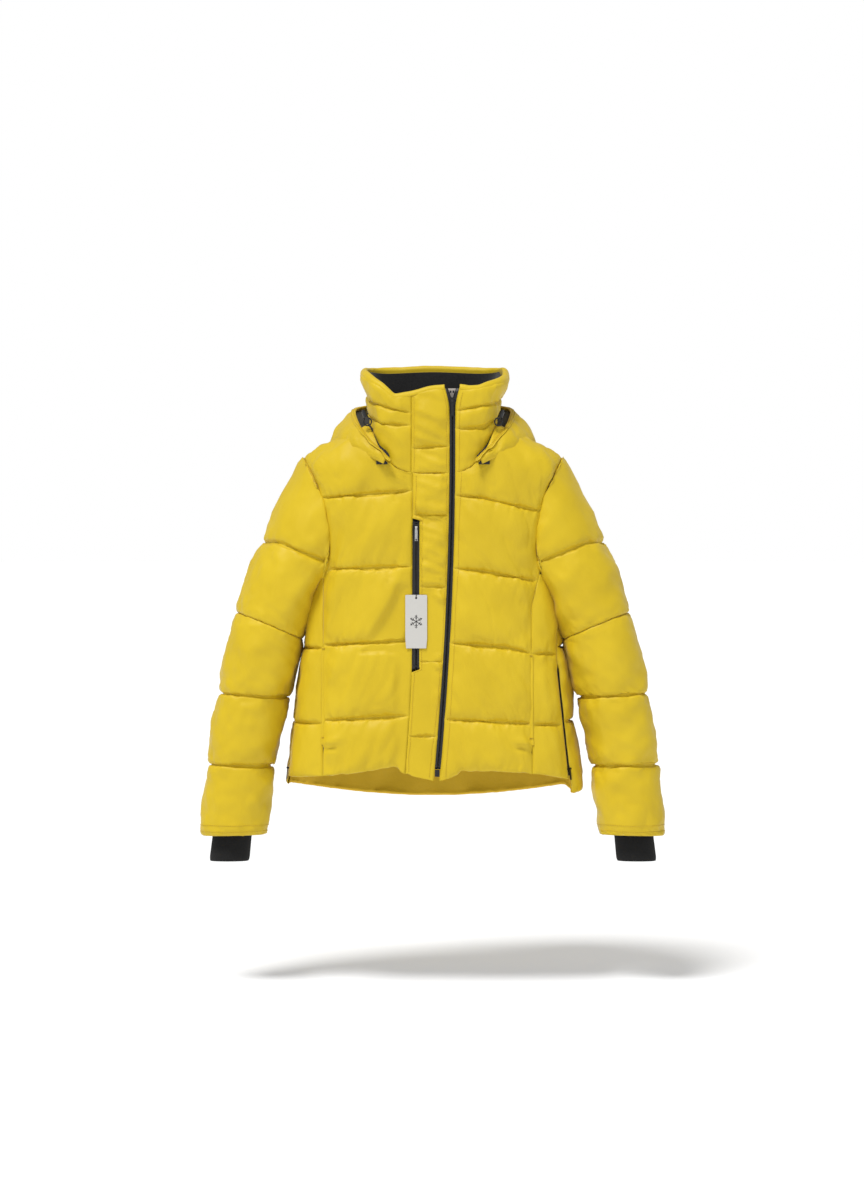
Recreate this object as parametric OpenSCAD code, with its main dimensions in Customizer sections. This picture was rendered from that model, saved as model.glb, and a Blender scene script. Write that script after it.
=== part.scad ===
// Quilted ski jacket with a stand collar, a hood resting on the shoulders and side vent zips.
// +Z is up, +X is the wearer's left and the front faces -Y. The origin is the point where a
// coat hanger carries the jacket: on the midline, level with the neck ends of the shoulder seams.

/* [Body] */
// Half of the width across the hem
hem_half_w = 235; // [230:1:240]
// Half of the width between the shoulder points
shoulder_half_w = 211; // [208:1:214]
// How far the front face stands in front of the shoulder seams
front_depth = 92; // [91:1:93]
// How far the back face stands behind the shoulder seams
back_depth = 90; // [88:1:92]
// Height of the front hem
front_hem_z = -577; // [-580:1:-575]
// Height of the drop tail's hem at the centre back
tail_z = -612; // [-620:1:-605]

/* [Cloth] */
// Thickness of the outer fabric
shell_t = 1.2; // [1:0.1:1.4]
// Thickness of the padding in the body
fill_t = 9; // [7:0.5:9]
// Thickness of the padding in the sleeves
sleeve_fill_t = 6; // [4:0.5:7]
// Thickness of the lining
lining_t = 1; // [0.8:0.1:1.2]

/* [Collar] */
// Height of the collar's top edge at the back
collar_back_z = 82; // [78:1:86]
// Height of the collar's top edge beside the main zip
collar_front_z = 55; // [52:1:58]
// Half of the collar's width at its top edge
collar_half_w = 119; // [116:1:121]

/* [Zips] */
// Radius of the arc that the main zip follows
zip_r = 5630; // [5500:10:5800]
// Width of the gap in the fabric where the main zip shows
zip_slot = 10; // [9.6:0.2:11]
// Height of the top of the chest zip
chest_zip_top = -160; // [-164:1:-158]
// Height of the bottom of the chest zip
chest_zip_bottom = -402; // [-406:1:-398]
// Height of the top of the side vent zips
vent_top = -400; // [-405:1:-390]

/* [Swing tag] */
// Width of the card
tag_w = 35; // [30:1:38]
// Height of the card
tag_h = 86; // [80:1:90]

/* [Hidden] */

CLOTH = [0.85, 0.71, 0.12];
PADDING = [0.93, 0.93, 0.9];
LINING = [0.1, 0.1, 0.11];
TRIM = [0.07, 0.07, 0.08];
METAL = [0.72, 0.72, 0.7];
CARD = [0.93, 0.93, 0.92];

gap = 0.3;                    // between layers of cloth
seam = 1.2;                   // half of the gap between two panels that are sewn together
roundness = 2.6;              // superellipse exponent of the sides, seen from above
flat_half_w = 48;             // the front and back are flat this far from the midline
neck_half_w = 102;            // where the collar meets the shoulder seams
neck_z = -5;                  // height there
shoulder_z = -57;             // height of the shoulder points
armpit_z = -262;
armpit_share = 0.817;         // the body's half width there, as a share of the hem's
front_neck_z = -86;           // height of the collar seam at the front
back_neck_z = -10;

// ---- curves and helpers ----
function mix(a, b, t) = a + (b - a) * t;
function clamp01(t) = min(1, max(0, t));
function smooth(t) = let (c = clamp01(t)) c * c * (3 - 2 * c);
function signed_pow(v, e) = sign(v) * pow(abs(v), e);
function unit(v) = v / norm(v);
function steps(n, a = 0, b = 1) = [for (i = [0:n]) mix(a, b, i / n)];

// ---- thick patches of cloth ----
// A patch follows f(s, t) over the values ss across and ts down. Depth grows along its inner normal.
nudge = 0.01;
function normal_at(f, s, t) = unit(cross(
    f(min(1, s + nudge), t) - f(max(0, s - nudge), t), f(s, min(1, t + nudge)) - f(s, max(0, t - nudge))));
function deep(f, s, t, d) = f(s, t) + d * normal_at(f, s, t);

module patch(f, ss, ts, d0, d1, closed = false) {
    cols = len(ss) - 1;
    rows = len(ts) - 1;
    n = closed ? cols : cols + 1;
    layer = n * (rows + 1);
    pts = [for (d = [d0, d1], t = ts, i = [0:n - 1]) deep(f, ss[i], t, d)];
    at = function(k, i, j) k * layer + j * n + i % n;
    skins = [for (j = [0:rows - 1], i = [0:cols - 1]) each [
        [at(0, i, j), at(0, i, j + 1), at(0, i + 1, j + 1)],
        [at(0, i, j), at(0, i + 1, j + 1), at(0, i + 1, j)],
        [at(1, i, j), at(1, i + 1, j + 1), at(1, i, j + 1)],
        [at(1, i, j), at(1, i + 1, j), at(1, i + 1, j + 1)]]];
    ends = [for (i = [0:cols - 1]) each [
        [at(0, i, 0), at(0, i + 1, 0), at(1, i + 1, 0)], [at(0, i, 0), at(1, i + 1, 0), at(1, i, 0)],
        [at(0, i, rows), at(1, i + 1, rows), at(0, i + 1, rows)],
        [at(0, i, rows), at(1, i, rows), at(1, i + 1, rows)]]];
    sides = closed ? [] : [for (j = [0:rows - 1]) each [
        [at(0, 0, j), at(1, 0, j + 1), at(0, 0, j + 1)], [at(0, 0, j), at(1, 0, j), at(1, 0, j + 1)],
        [at(0, cols, j), at(0, cols, j + 1), at(1, cols, j + 1)],
        [at(0, cols, j), at(1, cols, j + 1), at(1, cols, j)]]];
    polyhedron(pts, concat(skins, ends, sides), convexity = 6);
}

// Depths at which the layers start and end.
padding_d = [shell_t + gap, shell_t + gap + fill_t];
pocket_d = [padding_d[1] + gap, padding_d[1] + gap + 1];
lining_d = [pocket_d[1] + gap, pocket_d[1] + gap + lining_t];

// ---- the body ----
front_crest_h = 55;           // the front rounds over to the shoulder seams within this height
back_crest_h = 80;            // and the back within this one
// Half of the body's width at a height, with the armholes filled in.
body_line = [[-630, 1.026], [-577, 1], [-400, 0.913], [-330, 0.864], [armpit_z, armpit_share]];
function body_half_w(z) = z < armpit_z ? hem_half_w * lookup(z, body_line)
    : mix(hem_half_w * armpit_share, shoulder_half_w + 3, (z - armpit_z) / (shoulder_z - armpit_z));
// The armhole's edge, seen from the front.
arm_line = [[armpit_z, 188], [-245, 172], [-209, 166], [-173, 169], [-129, 178], [-107, 186], [-86, 196],
    [shoulder_z, shoulder_half_w]];
function arm_x(z) = lookup(z, arm_line);
// The ridge of the shoulders, carried on over the neck hole.
function ridge_z(x) =
    mix(neck_z, shoulder_z, (abs(x) - neck_half_w) / (shoulder_half_w - neck_half_w));
function front_neck(x) = mix(front_neck_z, neck_z, pow(clamp01(abs(x) / neck_half_w), 4));
function back_neck(x) = mix(back_neck_z, neck_z, pow(clamp01(abs(x) / neck_half_w), 2));
function front_top(x) = abs(x) < neck_half_w ? front_neck(x) : ridge_z(x);
function back_top(x) = abs(x) < neck_half_w ? back_neck(x) : ridge_z(x);
function tail(x) = mix(tail_z, front_hem_z - 9, pow(clamp01(abs(x) / hem_half_w), 2));
function rounding(x, half_w) =
    let (outward = clamp01((abs(x) - flat_half_w) / (half_w - flat_half_w)))
    pow(1 - pow(outward, roundness), 1 / roundness);
function crest(x, z, h) = sqrt(1 - pow(1 - clamp01((ridge_z(x) - z) / h), 2));

// A point on the body. Angle 0 is the centre front, 90 the wearer's left and 180 the centre back.
function body_x(a, z) = body_half_w(z) * signed_pow(sin(a), 2 / roundness);
function body_pt(a, z) =
    let (x = body_x(a, z), c = rounding(x, body_half_w(z)),
         front_y = -seam - (front_depth - seam) * c * crest(x, z, front_crest_h),
         back_y = seam + (back_depth - seam) * c * crest(x, z, back_crest_h))
    [x, cos(a) > 0 ? front_y : back_y, z];
// The angle at which the front of the body reaches a given x.
function angle_at(x, z) = sign(x) * asin(pow(clamp01(abs(x) / body_half_w(z)), roundness / 2));

// ---- seams ----
zip_axis_x = 31.2 - zip_r;
zip_axis_z = -44.7;
function zip_x(z) = zip_axis_x + sqrt(zip_r * zip_r - pow(z - zip_axis_z, 2));
function placket_x(z) = -lookup(z, [[-577, 45], [-476, 38], [-402, 34], [-90, 32.5], [60, 36]]);
// The hand pockets open in the seams between the front and side panels.
function right_pocket_x(z) = z > -248 ? -arm_x(z) : -177;
function left_pocket_x(z) = z > -248 ? arm_x(z) : lookup(z, [[-577, 160], [-300, 158], [-248, 172]]);
// The side seams. The wearer's left one sits further forward, because the jacket hangs a little turned.
left_vent_a = 67;
right_vent_a = -86;
function above_vent(z) = smooth((z + 400) / 130);
function left_seam_a(z) = mix(left_vent_a, 90, above_vent(z));
function right_seam_a(z) = mix(right_vent_a, -90, above_vent(z));
side_top_z = armpit_z - 9;     // the side panels start under the armhole
function vent_gap_a(z) = z < vent_top + 1 ? 1.75 : 0.5;

// A panel between two seams, given as angles over height, from its top edge to its hem.
function panel(from, to, top, bottom) = function(s, t)
    let (x_at = function(z) body_x(mix(from(z), to(z), s), z),
         z_top = top(x_at(top(x_at(shoulder_z)))), z = mix(z_top, bottom(x_at(front_hem_z)), t))
    body_pt(mix(from(z), to(z), s), z);

flat_hem = function(x) front_hem_z;
tail_hem = function(x) tail(x);
front_edge = function(x) front_top(x);
back_edge = function(x) back_top(x);
function at_x(f, inset) = function(z) angle_at(f(z) + inset, z);

right_arm = at_x(function(z) right_pocket_x(z), seam);
left_arm = at_x(function(z) left_pocket_x(z), -seam);
right_placket_seam = function(inset) at_x(function(z) placket_x(z), inset);
zip_side = function(inset) at_x(function(z) zip_x(z), inset);
chest_slot_x = -22;            // the wearer's left edge of the gap for the chest zip
chest_slot = function(z)
    let (in_slot = z < chest_zip_top && z > chest_zip_bottom)
    angle_at(in_slot ? chest_slot_x : placket_x(z) + seam, z);
right_side_from = function(z) right_seam_a(z) + vent_gap_a(z);
left_side_to = function(z) left_seam_a(z) - vent_gap_a(z);
function back_arm_a(z, seam_a) = z > armpit_z - 4 ? 180 - angle_at(arm_x(z) - seam, z) : seam_a;
back_from = function(z) back_arm_a(z, left_seam_a(z) + vent_gap_a(z));
back_to = function(z) 360 - back_arm_a(z, -right_seam_a(z) + vent_gap_a(z));

right_front = panel(right_arm, right_placket_seam(-seam), front_edge, flat_hem);
left_front = panel(zip_side(zip_slot / 2), left_arm, front_edge, flat_hem);
placket = panel(chest_slot, zip_side(-zip_slot / 2), front_edge, flat_hem);
right_side = function(s, t) let (z = mix(side_top_z, front_hem_z, t))
    body_pt(mix(right_side_from(z), angle_at(right_pocket_x(z) - seam, z), s), z);
left_side = function(s, t) let (z = mix(side_top_z, front_hem_z, t))
    body_pt(mix(angle_at(left_pocket_x(z) + seam, z), left_side_to(z), s), z);
back = panel(back_from, back_to, back_edge, tail_hem);

crest_rows = [0.0006, 0.006, 0.02, 0.045, 0.08, 0.13, 0.2, 0.3, 0.4, 0.52, 0.64, 0.76, 0.88, 1];
front_slot_t = function(z) (z - front_neck_z) / (front_hem_z - front_neck_z);
placket_rows = concat([0, 0.08, front_slot_t(chest_zip_top + 2), front_slot_t(chest_zip_top - 2)],
    steps(4, 0.25, 0.55), [front_slot_t(chest_zip_bottom + 2), front_slot_t(chest_zip_bottom - 2)],
    [0.75, 0.88, 1]);
side_vent_t = (vent_top - side_top_z) / (front_hem_z - side_top_z);
side_rows = [0, 0.15, 0.3, side_vent_t - 0.01, side_vent_t + 0.01, 0.7, 0.85, 1];
back_rows = [0.0006, 0.006, 0.02, 0.045, 0.08, 0.13, 0.2, 0.3, 0.36, 0.44, 0.52, 0.6, 0.645, 0.66, 0.76,
    0.88, 1];

// Every layer of a panel uses the same grid, so that the layers nest. The outermost columns at a zip
// belong to the outer fabric alone, which leaves the other layers clear of the tapes and the slider.
front_cols = steps(10);
zip_side_cols = steps(9, 0.056, 1);
side_cols = steps(3, 0.14, 1);
left_side_cols = steps(3, 0, 0.86);
back_cols = steps(18, 0.02, 0.98);
module right_layer(d) {
    patch(right_front, front_cols, crest_rows, d[0], d[1]);
    patch(right_side, side_cols, side_rows, d[0], d[1]);
}
module left_layer(d) {
    patch(left_front, zip_side_cols, crest_rows, d[0], d[1]);
    patch(left_side, left_side_cols, side_rows, d[0], d[1]);
}
module back_layer(d) { patch(back, back_cols, back_rows, d[0], d[1]); }

module right_front_shell() { color(CLOTH) patch(right_front, front_cols, crest_rows, 0, shell_t); }
module left_front_shell() {
    color(CLOTH) patch(left_front, concat(0, zip_side_cols), crest_rows, 0, shell_t);
}
module placket_shell() { color(CLOTH) patch(placket, steps(3), placket_rows, 0, shell_t); }
module right_side_shell() {
    color(CLOTH) patch(right_side, concat(0, side_cols), side_rows, 0, shell_t);
}
module left_side_shell() {
    color(CLOTH) patch(left_side, concat(left_side_cols, 1), side_rows, 0, shell_t);
}
module back_shell() { color(CLOTH) patch(back, concat(0, back_cols, 1), back_rows, 0, shell_t); }

// ---- padding and lining of the body ----
zip_channel = 18;             // half of the width that is kept free behind the main zip
placket_pad = function(s, t) let (z = mix(front_neck_z - 4, front_hem_z, t))
    [mix(-19, zip_x(z) - zip_channel, s), -front_depth, z];
module right_front_padding() { color(PADDING) right_layer(padding_d); }
module left_front_padding() { color(PADDING) left_layer(padding_d); }
module placket_padding() {
    color(PADDING) patch(placket_pad, [0, 1], steps(6), padding_d[0], padding_d[1]);
}
module back_padding() { color(PADDING) back_layer(padding_d); }
module front_lining() {
    color(LINING) {
        right_layer(lining_d);
        left_layer(lining_d);
    }
}
module back_lining() { color(LINING) back_layer(lining_d); }

// A flat bag lies between the padding and the lining behind each hand pocket, and behind the chest pocket.
hand_pocket_rows = [for (i = [8:12]) crest_rows[i]];
chest_pocket_rows = [for (i = [5:7]) crest_rows[i]];
module pocket_bags() {
    color(LINING) {
        patch(right_front, steps(6, 0.1, 0.7), hand_pocket_rows, pocket_d[0], pocket_d[1]);
        patch(left_front, [for (i = [3:8]) zip_side_cols[i]], hand_pocket_rows, pocket_d[0], pocket_d[1]);
        patch(right_front, steps(4, 0.6, 1), chest_pocket_rows, pocket_d[0], pocket_d[1]);
    }
}

// ---- stand collar ----
// Angle 0 is the centre front. The base follows the neck seam.
collar_back_y = 78;
function collar_base(a) =
    let (x = neck_half_w * signed_pow(sin(a), 2 / roundness), c = rounding(x, neck_half_w))
    cos(a) > 0 ? [x, -front_depth * c, front_neck(x) + 8] : [x, back_depth * 0.92 * c, back_neck(x) + 4];
function collar_rim(a) =
    let (x = collar_half_w * signed_pow(sin(a), 2 / roundness), c = cos(a), backward = (1 - c) / 2)
    [x, (c > 0 ? -front_depth : collar_back_y) * rounding(x, collar_half_w),
     mix(collar_front_z, collar_back_z, 0.6 * smooth(backward) + 0.4 * backward)];
collar_bulge = 5;
function collar_mid(a, t) = mix(collar_rim(a), collar_base(a), t)
    + [collar_bulge * sin(180 * t) * pow(sin(a), 2) * sign(sin(a)), 0, 0];
// The two front edges of the collar stand beside the zip.
function collar_edge_a(x, t) =
    sign(x) * asin(pow(clamp01(abs(x) / mix(collar_half_w, neck_half_w, t)), roundness / 2));
function zip_edge_z(t) = mix(collar_front_z, front_neck_z, t);
collar = function(s, t)
    let (x = zip_x(zip_edge_z(t)), from = collar_edge_a(x + zip_slot / 2, t),
         to = collar_edge_a(x - zip_slot / 2, t) + 360)
    collar_mid(mix(from, to, s), t);
collar_cols = [0.022, 0.06, 0.12, 0.17, 0.2, 0.23, 0.26, 0.3, 0.4, 0.5, 0.6, 0.7, 0.74, 0.77, 0.8, 0.83,
    0.88, 0.94, 0.978];
collar_pad_t = 5;
collar_pad_d = [shell_t + gap, shell_t + gap + collar_pad_t];

module collar_shell() { color(CLOTH) patch(collar, concat(0, collar_cols, 1), steps(4), 0, shell_t); }
module collar_padding() {
    color(PADDING) patch(collar, collar_cols, steps(4), collar_pad_d[0], collar_pad_d[1]);
}
module collar_lining() {
    inner_d = collar_pad_d[1] + gap;
    color(LINING) patch(collar, collar_cols, steps(4), inner_d, inner_d + lining_t);
}
module hang_loop() {
    loop_r = 22;
    color(TRIM) translate([0, 56, 4]) rotate([90, 0, 0]) rotate(180)
        rotate_extrude(angle = 180, $fn = 48) translate([loop_r, -3]) square([1.5, 6]);
}

// ---- main zip ----
zip_top_z = 42;
zip_bottom_z = -562;
tape_y = -front_depth + shell_t + gap;
tape_t = 0.8;
coil_y = tape_y + tape_t;
coil_t = 1.6;
coil_gap = 0.6;               // half of the slit that the slider's post runs in
slider_z = 30;
stop_t = 1.2;                 // how far the stops stand out of the tapes
function along_zip(x0, x1, y, z0, z1) = function(s, t)
    let (z = mix(z0, z1, t))
    [zip_x(z) + mix(x0, x1, s), y, z];
module zip_strips(x0, x1, y, t, z0, z1, rows) {
    patch(along_zip(x0, x1, y, z0, z1), [0, 1], steps(rows), 0, t);
    patch(along_zip(-x1, -x0, y, z0, z1), [0, 1], steps(rows), 0, t);
}
module main_zip_tapes() {
    color(TRIM) zip_strips(coil_gap, 15, tape_y, tape_t, zip_top_z + 8, zip_bottom_z, 10);
}
module main_zip_coils() {
    color(TRIM) zip_strips(coil_gap, 3, coil_y, coil_t, zip_top_z, zip_bottom_z, 10);
}
module main_zip_end_fittings() {
    color(TRIM) {
        for (side = [-1, 1])
            translate([zip_x(zip_top_z + 3) + side * 2.4 - 1.5, tape_y - stop_t, zip_top_z + 0.5])
                cube([3, stop_t, 4]);
        translate([zip_x(zip_bottom_z - 6) - 3.8, -front_depth, zip_bottom_z - 12]) cube([7.6, 5, 11]);
    }
}
module storm_flap() {
    flap = along_zip(-13, 13, -front_depth + 9, zip_top_z, zip_bottom_z);
    color(CLOTH) patch(flap, [0, 1], steps(8), 0, 2);
}

// A slider has a plate on each side of the coils, joined by a thin post that runs in the slit between them.
// Its pull hangs on a bar between two lugs. Both are drawn at the origin, facing -Y.
bar_y = -front_depth - 3.2;
bar_r = 0.7;
eye_r = 1;
eye_h = 2.25;                 // height of the hole at the end of a pull that carries a string
lug_x = 2.2;
module slider(w, l) {
    translate([-w / 2, -front_depth - 0.8, -l / 2]) cube([w, 1.7, l]);
    translate([-0.4, -front_depth + 0.5, -l / 2 + 1]) cube([0.8, 4.3, 4]);
    translate([-w / 2, coil_y + coil_t + 0.3, -l / 2]) cube([w, 1, l]);
    for (side = [-1, 1])
        translate([side * (lug_x + 0.5) - 0.5, bar_y - 1.2, -1.2]) cube([1, 4.4, 2.4]);
    translate([-lug_x - 0.5, bar_y, 0]) rotate([0, 90, 0]) cylinder(r = bar_r, h = 2 * lug_x + 1, $fn = 24);
}
module pull(l, w, t, hole = false) {
    difference() {
        union() {
            translate([-1.8, bar_y, 0]) rotate([0, 90, 0]) cylinder(r = 2, h = 3.6, $fn = 32);
            translate([-1.8, bar_y - t / 2, -5]) cube([3.6, t, 4.5]);
            translate([-w / 2, bar_y - t / 2, -l]) cube([w, t, l - 4]);
        }
        translate([-3, bar_y, 0]) rotate([0, 90, 0]) cylinder(r = eye_r, h = 6, $fn = 32);
        if (hole)
            translate([0, bar_y - 3, -l + eye_h]) rotate([-90, 0, 0]) cylinder(r = 1.3, h = 6, $fn = 24);
    }
}
// The slider leans with the zip where it rests.
module on_main_zip() {
    lean = -asin((slider_z - zip_axis_z) / zip_r);
    translate([zip_x(slider_z), 0, slider_z]) rotate([0, lean, 0]) children();
}
module main_zip_slider() { color(TRIM) on_main_zip() slider(8, 11); }
module main_zip_pull() { color(TRIM) on_main_zip() pull(24, 5, 1.4); }

// ---- chest zip, swing tag ----
chest_x = -27;
chest_slider_z = chest_zip_top - 13;
module chest_zip_tapes() {
    l = chest_zip_top - chest_zip_bottom;
    w = 6 - coil_gap;
    coil_w = 2.4;
    color(TRIM) for (side = [-1, 1]) {
        translate([chest_x + (side > 0 ? coil_gap : -6), tape_y, chest_zip_bottom + 1])
            cube([w, tape_t, l - 2]);
        translate([chest_x + (side > 0 ? coil_gap : -coil_gap - coil_w), coil_y, chest_zip_bottom + 3])
            cube([coil_w, coil_t, l - 6]);
    }
}
module chest_zip_stops() {
    color(TRIM) for (z = [chest_zip_top - 6.5, chest_zip_bottom + 5])
        translate([chest_x - 2.5, tape_y - stop_t, z]) cube([5, stop_t, 2]);
}
module on_chest_zip() { translate([chest_x, 0, chest_slider_z]) children(); }
chest_pull_l = 22;
module chest_zip_slider() { color(METAL) on_chest_zip() slider(6.4, 10); }
module chest_zip_pull() { color(METAL) on_chest_zip() pull(chest_pull_l, 4.4, 1.2, true); }

// A ring of string runs round the end of the pull, through its hole, and stays centred on that end.
string_y = bar_y;
string_z = chest_slider_z - chest_pull_l + 0.5;
string_r = 0.45;
ring_r = eye_h - 0.5;
tag_hole_z = string_z - 92;
tag_t = 0.8;
module tag_string() {
    drop = string_z - tag_hole_z;
    color(TRIM) translate([chest_x, string_y, string_z]) {
        rotate([0, 90, 0]) rotate_extrude($fn = 48) translate([ring_r, 0]) circle(r = string_r, $fn = 16);
        translate([0, 0, -drop - string_r]) cylinder(r = string_r, h = drop - ring_r, $fn = 16);
        translate([0, 0, -drop]) rotate([-90, 0, 0]) cylinder(r = string_r, h = 2.2, $fn = 16);
    }
}
module swing_tag() {
    color(CARD) difference() {
        translate([chest_x - tag_w / 2, string_y + 0.8, tag_hole_z - tag_h + 5])
            cube([tag_w, tag_t, tag_h]);
        translate([chest_x, string_y - 3, tag_hole_z]) rotate([-90, 0, 0]) cylinder(r = 1.8, h = 6, $fn = 32);
    }
}

// ---- side vent zips ----
// Each one runs straight up the side seam from the hem. It is drawn upright and laid on the seam.
vent_bottom = front_hem_z + 2;
module on_vent(seam_a, z) {
    low = body_pt(seam_a, vent_bottom);
    high = body_pt(seam_a, vent_top);
    here = body_pt(seam_a, z);
    across = unit(cross(high - low, body_pt(seam_a + 1, z) - body_pt(seam_a - 1, z)));
    turn = atan2(-across[0], across[1]);
    up = unit(high - low);
    flat_x = up[0] * cos(turn) + up[1] * sin(turn);
    flat_y = up[1] * cos(turn) - up[0] * sin(turn);
    translate(here) rotate([-asin(flat_y), atan2(flat_x, up[2]), turn])
        translate([0, front_depth + vent_inset, 0]) children();
}
vent_inset = 1;               // the vent zips lie this much deeper than the main zip
vent_l = norm(body_pt(left_vent_a, vent_top) - body_pt(left_vent_a, vent_bottom));
module vent_tapes(seam_a) {
    on_vent(seam_a, vent_bottom) for (side = [-1, 1]) {
        translate([side > 0 ? coil_gap : -5.6, tape_y, 1]) cube([5, tape_t, vent_l - 2]);
        translate([side > 0 ? coil_gap : -2.6, coil_y, 3]) cube([2, coil_t, vent_l - 6]);
    }
}
vent_slider_z = vent_bottom + 12;
module vent_zip_tapes() {
    color(TRIM) {
        vent_tapes(left_vent_a);
        vent_tapes(right_vent_a);
    }
}
module right_vent_slider() { color(TRIM) on_vent(right_vent_a, vent_slider_z) slider(5.4, 10); }
module right_vent_pull() { color(TRIM) on_vent(right_vent_a, vent_slider_z) pull(18, 3.6, 1.2); }
module left_vent_slider() { color(TRIM) on_vent(left_vent_a, vent_slider_z) slider(5.4, 10); }
module left_vent_pull() { color(TRIM) on_vent(left_vent_a, vent_slider_z) pull(18, 3.6, 1.2); }

// ---- hood, folded down on the shoulders ----
// w runs along one half of the hood, from 0 at the centre back to 1 at the front corner.
function hood_rim(w) = [lookup(w, [[0, 0], [0.35, 92], [0.6, 130], [0.8, 118], [0.9, 101], [1, 72]]),
    lookup(w, [[0, 134], [0.35, 104], [0.6, 34], [0.8, -60], [0.9, -89], [1, -104]]),
    lookup(w, [[0, 22], [0.35, 25], [0.6, 18], [0.8, -11], [0.9, -35], [1, -62]])];
function hood_foot(w) = [lookup(w, [[0, 0], [0.3, 132], [0.45, 158], [0.6, 168], [0.8, 130], [1, 80]]),
    lookup(w, [[0, 150], [0.3, 118], [0.45, 90], [0.6, 28], [0.8, -84], [1, -108]]),
    lookup(w, [[0, -212], [0.3, -150], [0.45, -88], [0.6, -22], [0.8, -28], [1, -72]])];
function hood_bulge(w) = [lookup(w, [[0, 0], [0.3, 16], [0.6, 12], [1, 0]]),
    lookup(w, [[0, 20], [0.3, 14], [0.6, 2], [1, -3]]), 0];
function hood_out(w, t) = mix(hood_rim(w), hood_foot(w), t) + sin(180 * t) * hood_bulge(w);
function mirrored(p, side) = [side * p[0], p[1], p[2]];
hood_split = 0.33;
hood_t = 2.5;
function wing(side) = function(s, t)
    let (w = mix(hood_split + 0.02, 1, side > 0 ? 1 - s : s))
    mirrored(hood_out(w, t), side);
pouch = function(s, t)
    let (w = mix(hood_split - 0.02, 0.02 - hood_split, s))
    mirrored(hood_out(abs(w), t), sign(w));
right_wing = wing(-1);
left_wing = wing(1);
hood_lining_d = [hood_t + gap, hood_t + gap + lining_t];

module hood_right_wing() { color(CLOTH) patch(right_wing, steps(8), steps(5), 0, hood_t); }
module hood_left_wing() { color(CLOTH) patch(left_wing, steps(8), steps(5), 0, hood_t); }
module hood_wing_lining() {
    color(LINING) {
        patch(right_wing, steps(8), steps(4, 0, 0.8), hood_lining_d[0], hood_lining_d[1]);
        patch(left_wing, steps(8), steps(4, 0, 0.8), hood_lining_d[0], hood_lining_d[1]);
    }
}
module hood_pouch() { color(CLOTH) patch(pouch, steps(10), steps(5), 0, hood_t); }
module hood_pouch_lining() {
    color(LINING) patch(pouch, steps(10), steps(4, 0, 0.8), hood_lining_d[0], hood_lining_d[1]);
}
module hood_tabs() {
    color(TRIM) for (side = [-1, 1]) translate([side * 82 - 9, -98, -72]) cube([18, 3, 8]);
}

// ---- drawcord of the hood ----
lock_r = 4;
lock_at = [108, -74, 4];
module at_lock(side) {
    translate(mirrored(lock_at, side)) rotate([0, side * 20, 0]) children();
}
module cord_lock_barrels() {
    color(TRIM) for (side = [-1, 1]) at_lock(side) difference() {
        cylinder(r = lock_r, h = 10, $fn = 32);
        translate([0, 0, 3]) cylinder(r = 2.8, h = 8, $fn = 32);
    }
}
module plunger() { translate([0, 0, 6.5]) cylinder(r = 2.6, h = 6, $fn = 32); }
module right_cord_lock_plunger() { color(TRIM) at_lock(-1) plunger(); }
module left_cord_lock_plunger() { color(TRIM) at_lock(1) plunger(); }
module hood_cord_loops() {
    color(TRIM) for (side = [-1, 1]) at_lock(side) translate([0, 0, -8]) rotate([90, 0, 0])
        rotate_extrude($fn = 48) translate([6.2, 0]) circle(r = 1.2, $fn = 16);
}

// ---- sleeves ----
// t runs down the sleeve from the armhole to the wrist. Outer and inner contours lie in the XZ plane.
ring_t = [0, 0.06, 0.13, 0.22, 0.33, 0.43, 0.52, 0.64, 0.79, 1];
outer_line = [[211, -57], [236, -101], [262, -158], [291, -230], [312, -300], [327, -362], [339, -415],
    [350, -480], [361, -560], [373, -672]];
inner_line = [[191, -262], [202, -272], [208, -290], [212, -318], [216, -352], [222, -388], [231, -425],
    [245, -480], [262, -562], [273, -670]];
depth_line = [[77], [76], [75], [73], [70], [66], [62], [57], [50], [42]];
function follow(line, t, k) = lookup(t, [for (i = [0:len(line) - 1]) [ring_t[i], line[i][k]]]);
function hug(t) = 31 * (1 - smooth(t / 0.42));      // the sleeve's front and back lap in over the body
// The first ring follows the edge of the armhole.
function sleeve_pt(b, t) =
    let (o = [follow(outer_line, t, 0), follow(outer_line, t, 1)],
         i = [follow(inner_line, t, 0), follow(inner_line, t, 1)],
         c = signed_pow(cos(b), 0.8), s = signed_pow(sin(b), 0.8), p = (o + i) / 2 + c * (o - i) / 2)
    [mix(arm_x(p[1]) + 7, p[0] - hug(t) * abs(s), smooth(t / 0.13)),
     4 - s * follow(depth_line, t, 0) - 6 * t, p[1]];
function sleeve(side) = function(s, t) mirrored(sleeve_pt(-side * 360 * s, t), side);
module sleeve_tube(side, t, rows, d) {
    patch(sleeve(side), steps(16), steps(rows, t[0], t[1]), d[0], d[1], closed = true);
}

// The cap and the elbow baffle stand for the soft parts of the sleeve at the two joints.
cap_t = [0.005, 0.125];
upper_t = [0.13, 0.375];
baffle_t = [0.38, 0.505];
lower_t = [0.51, 1];
quilted_d = [0, shell_t + sleeve_fill_t];
sleeve_lining_d = [quilted_d[1] + gap, quilted_d[1] + gap + lining_t];
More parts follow.
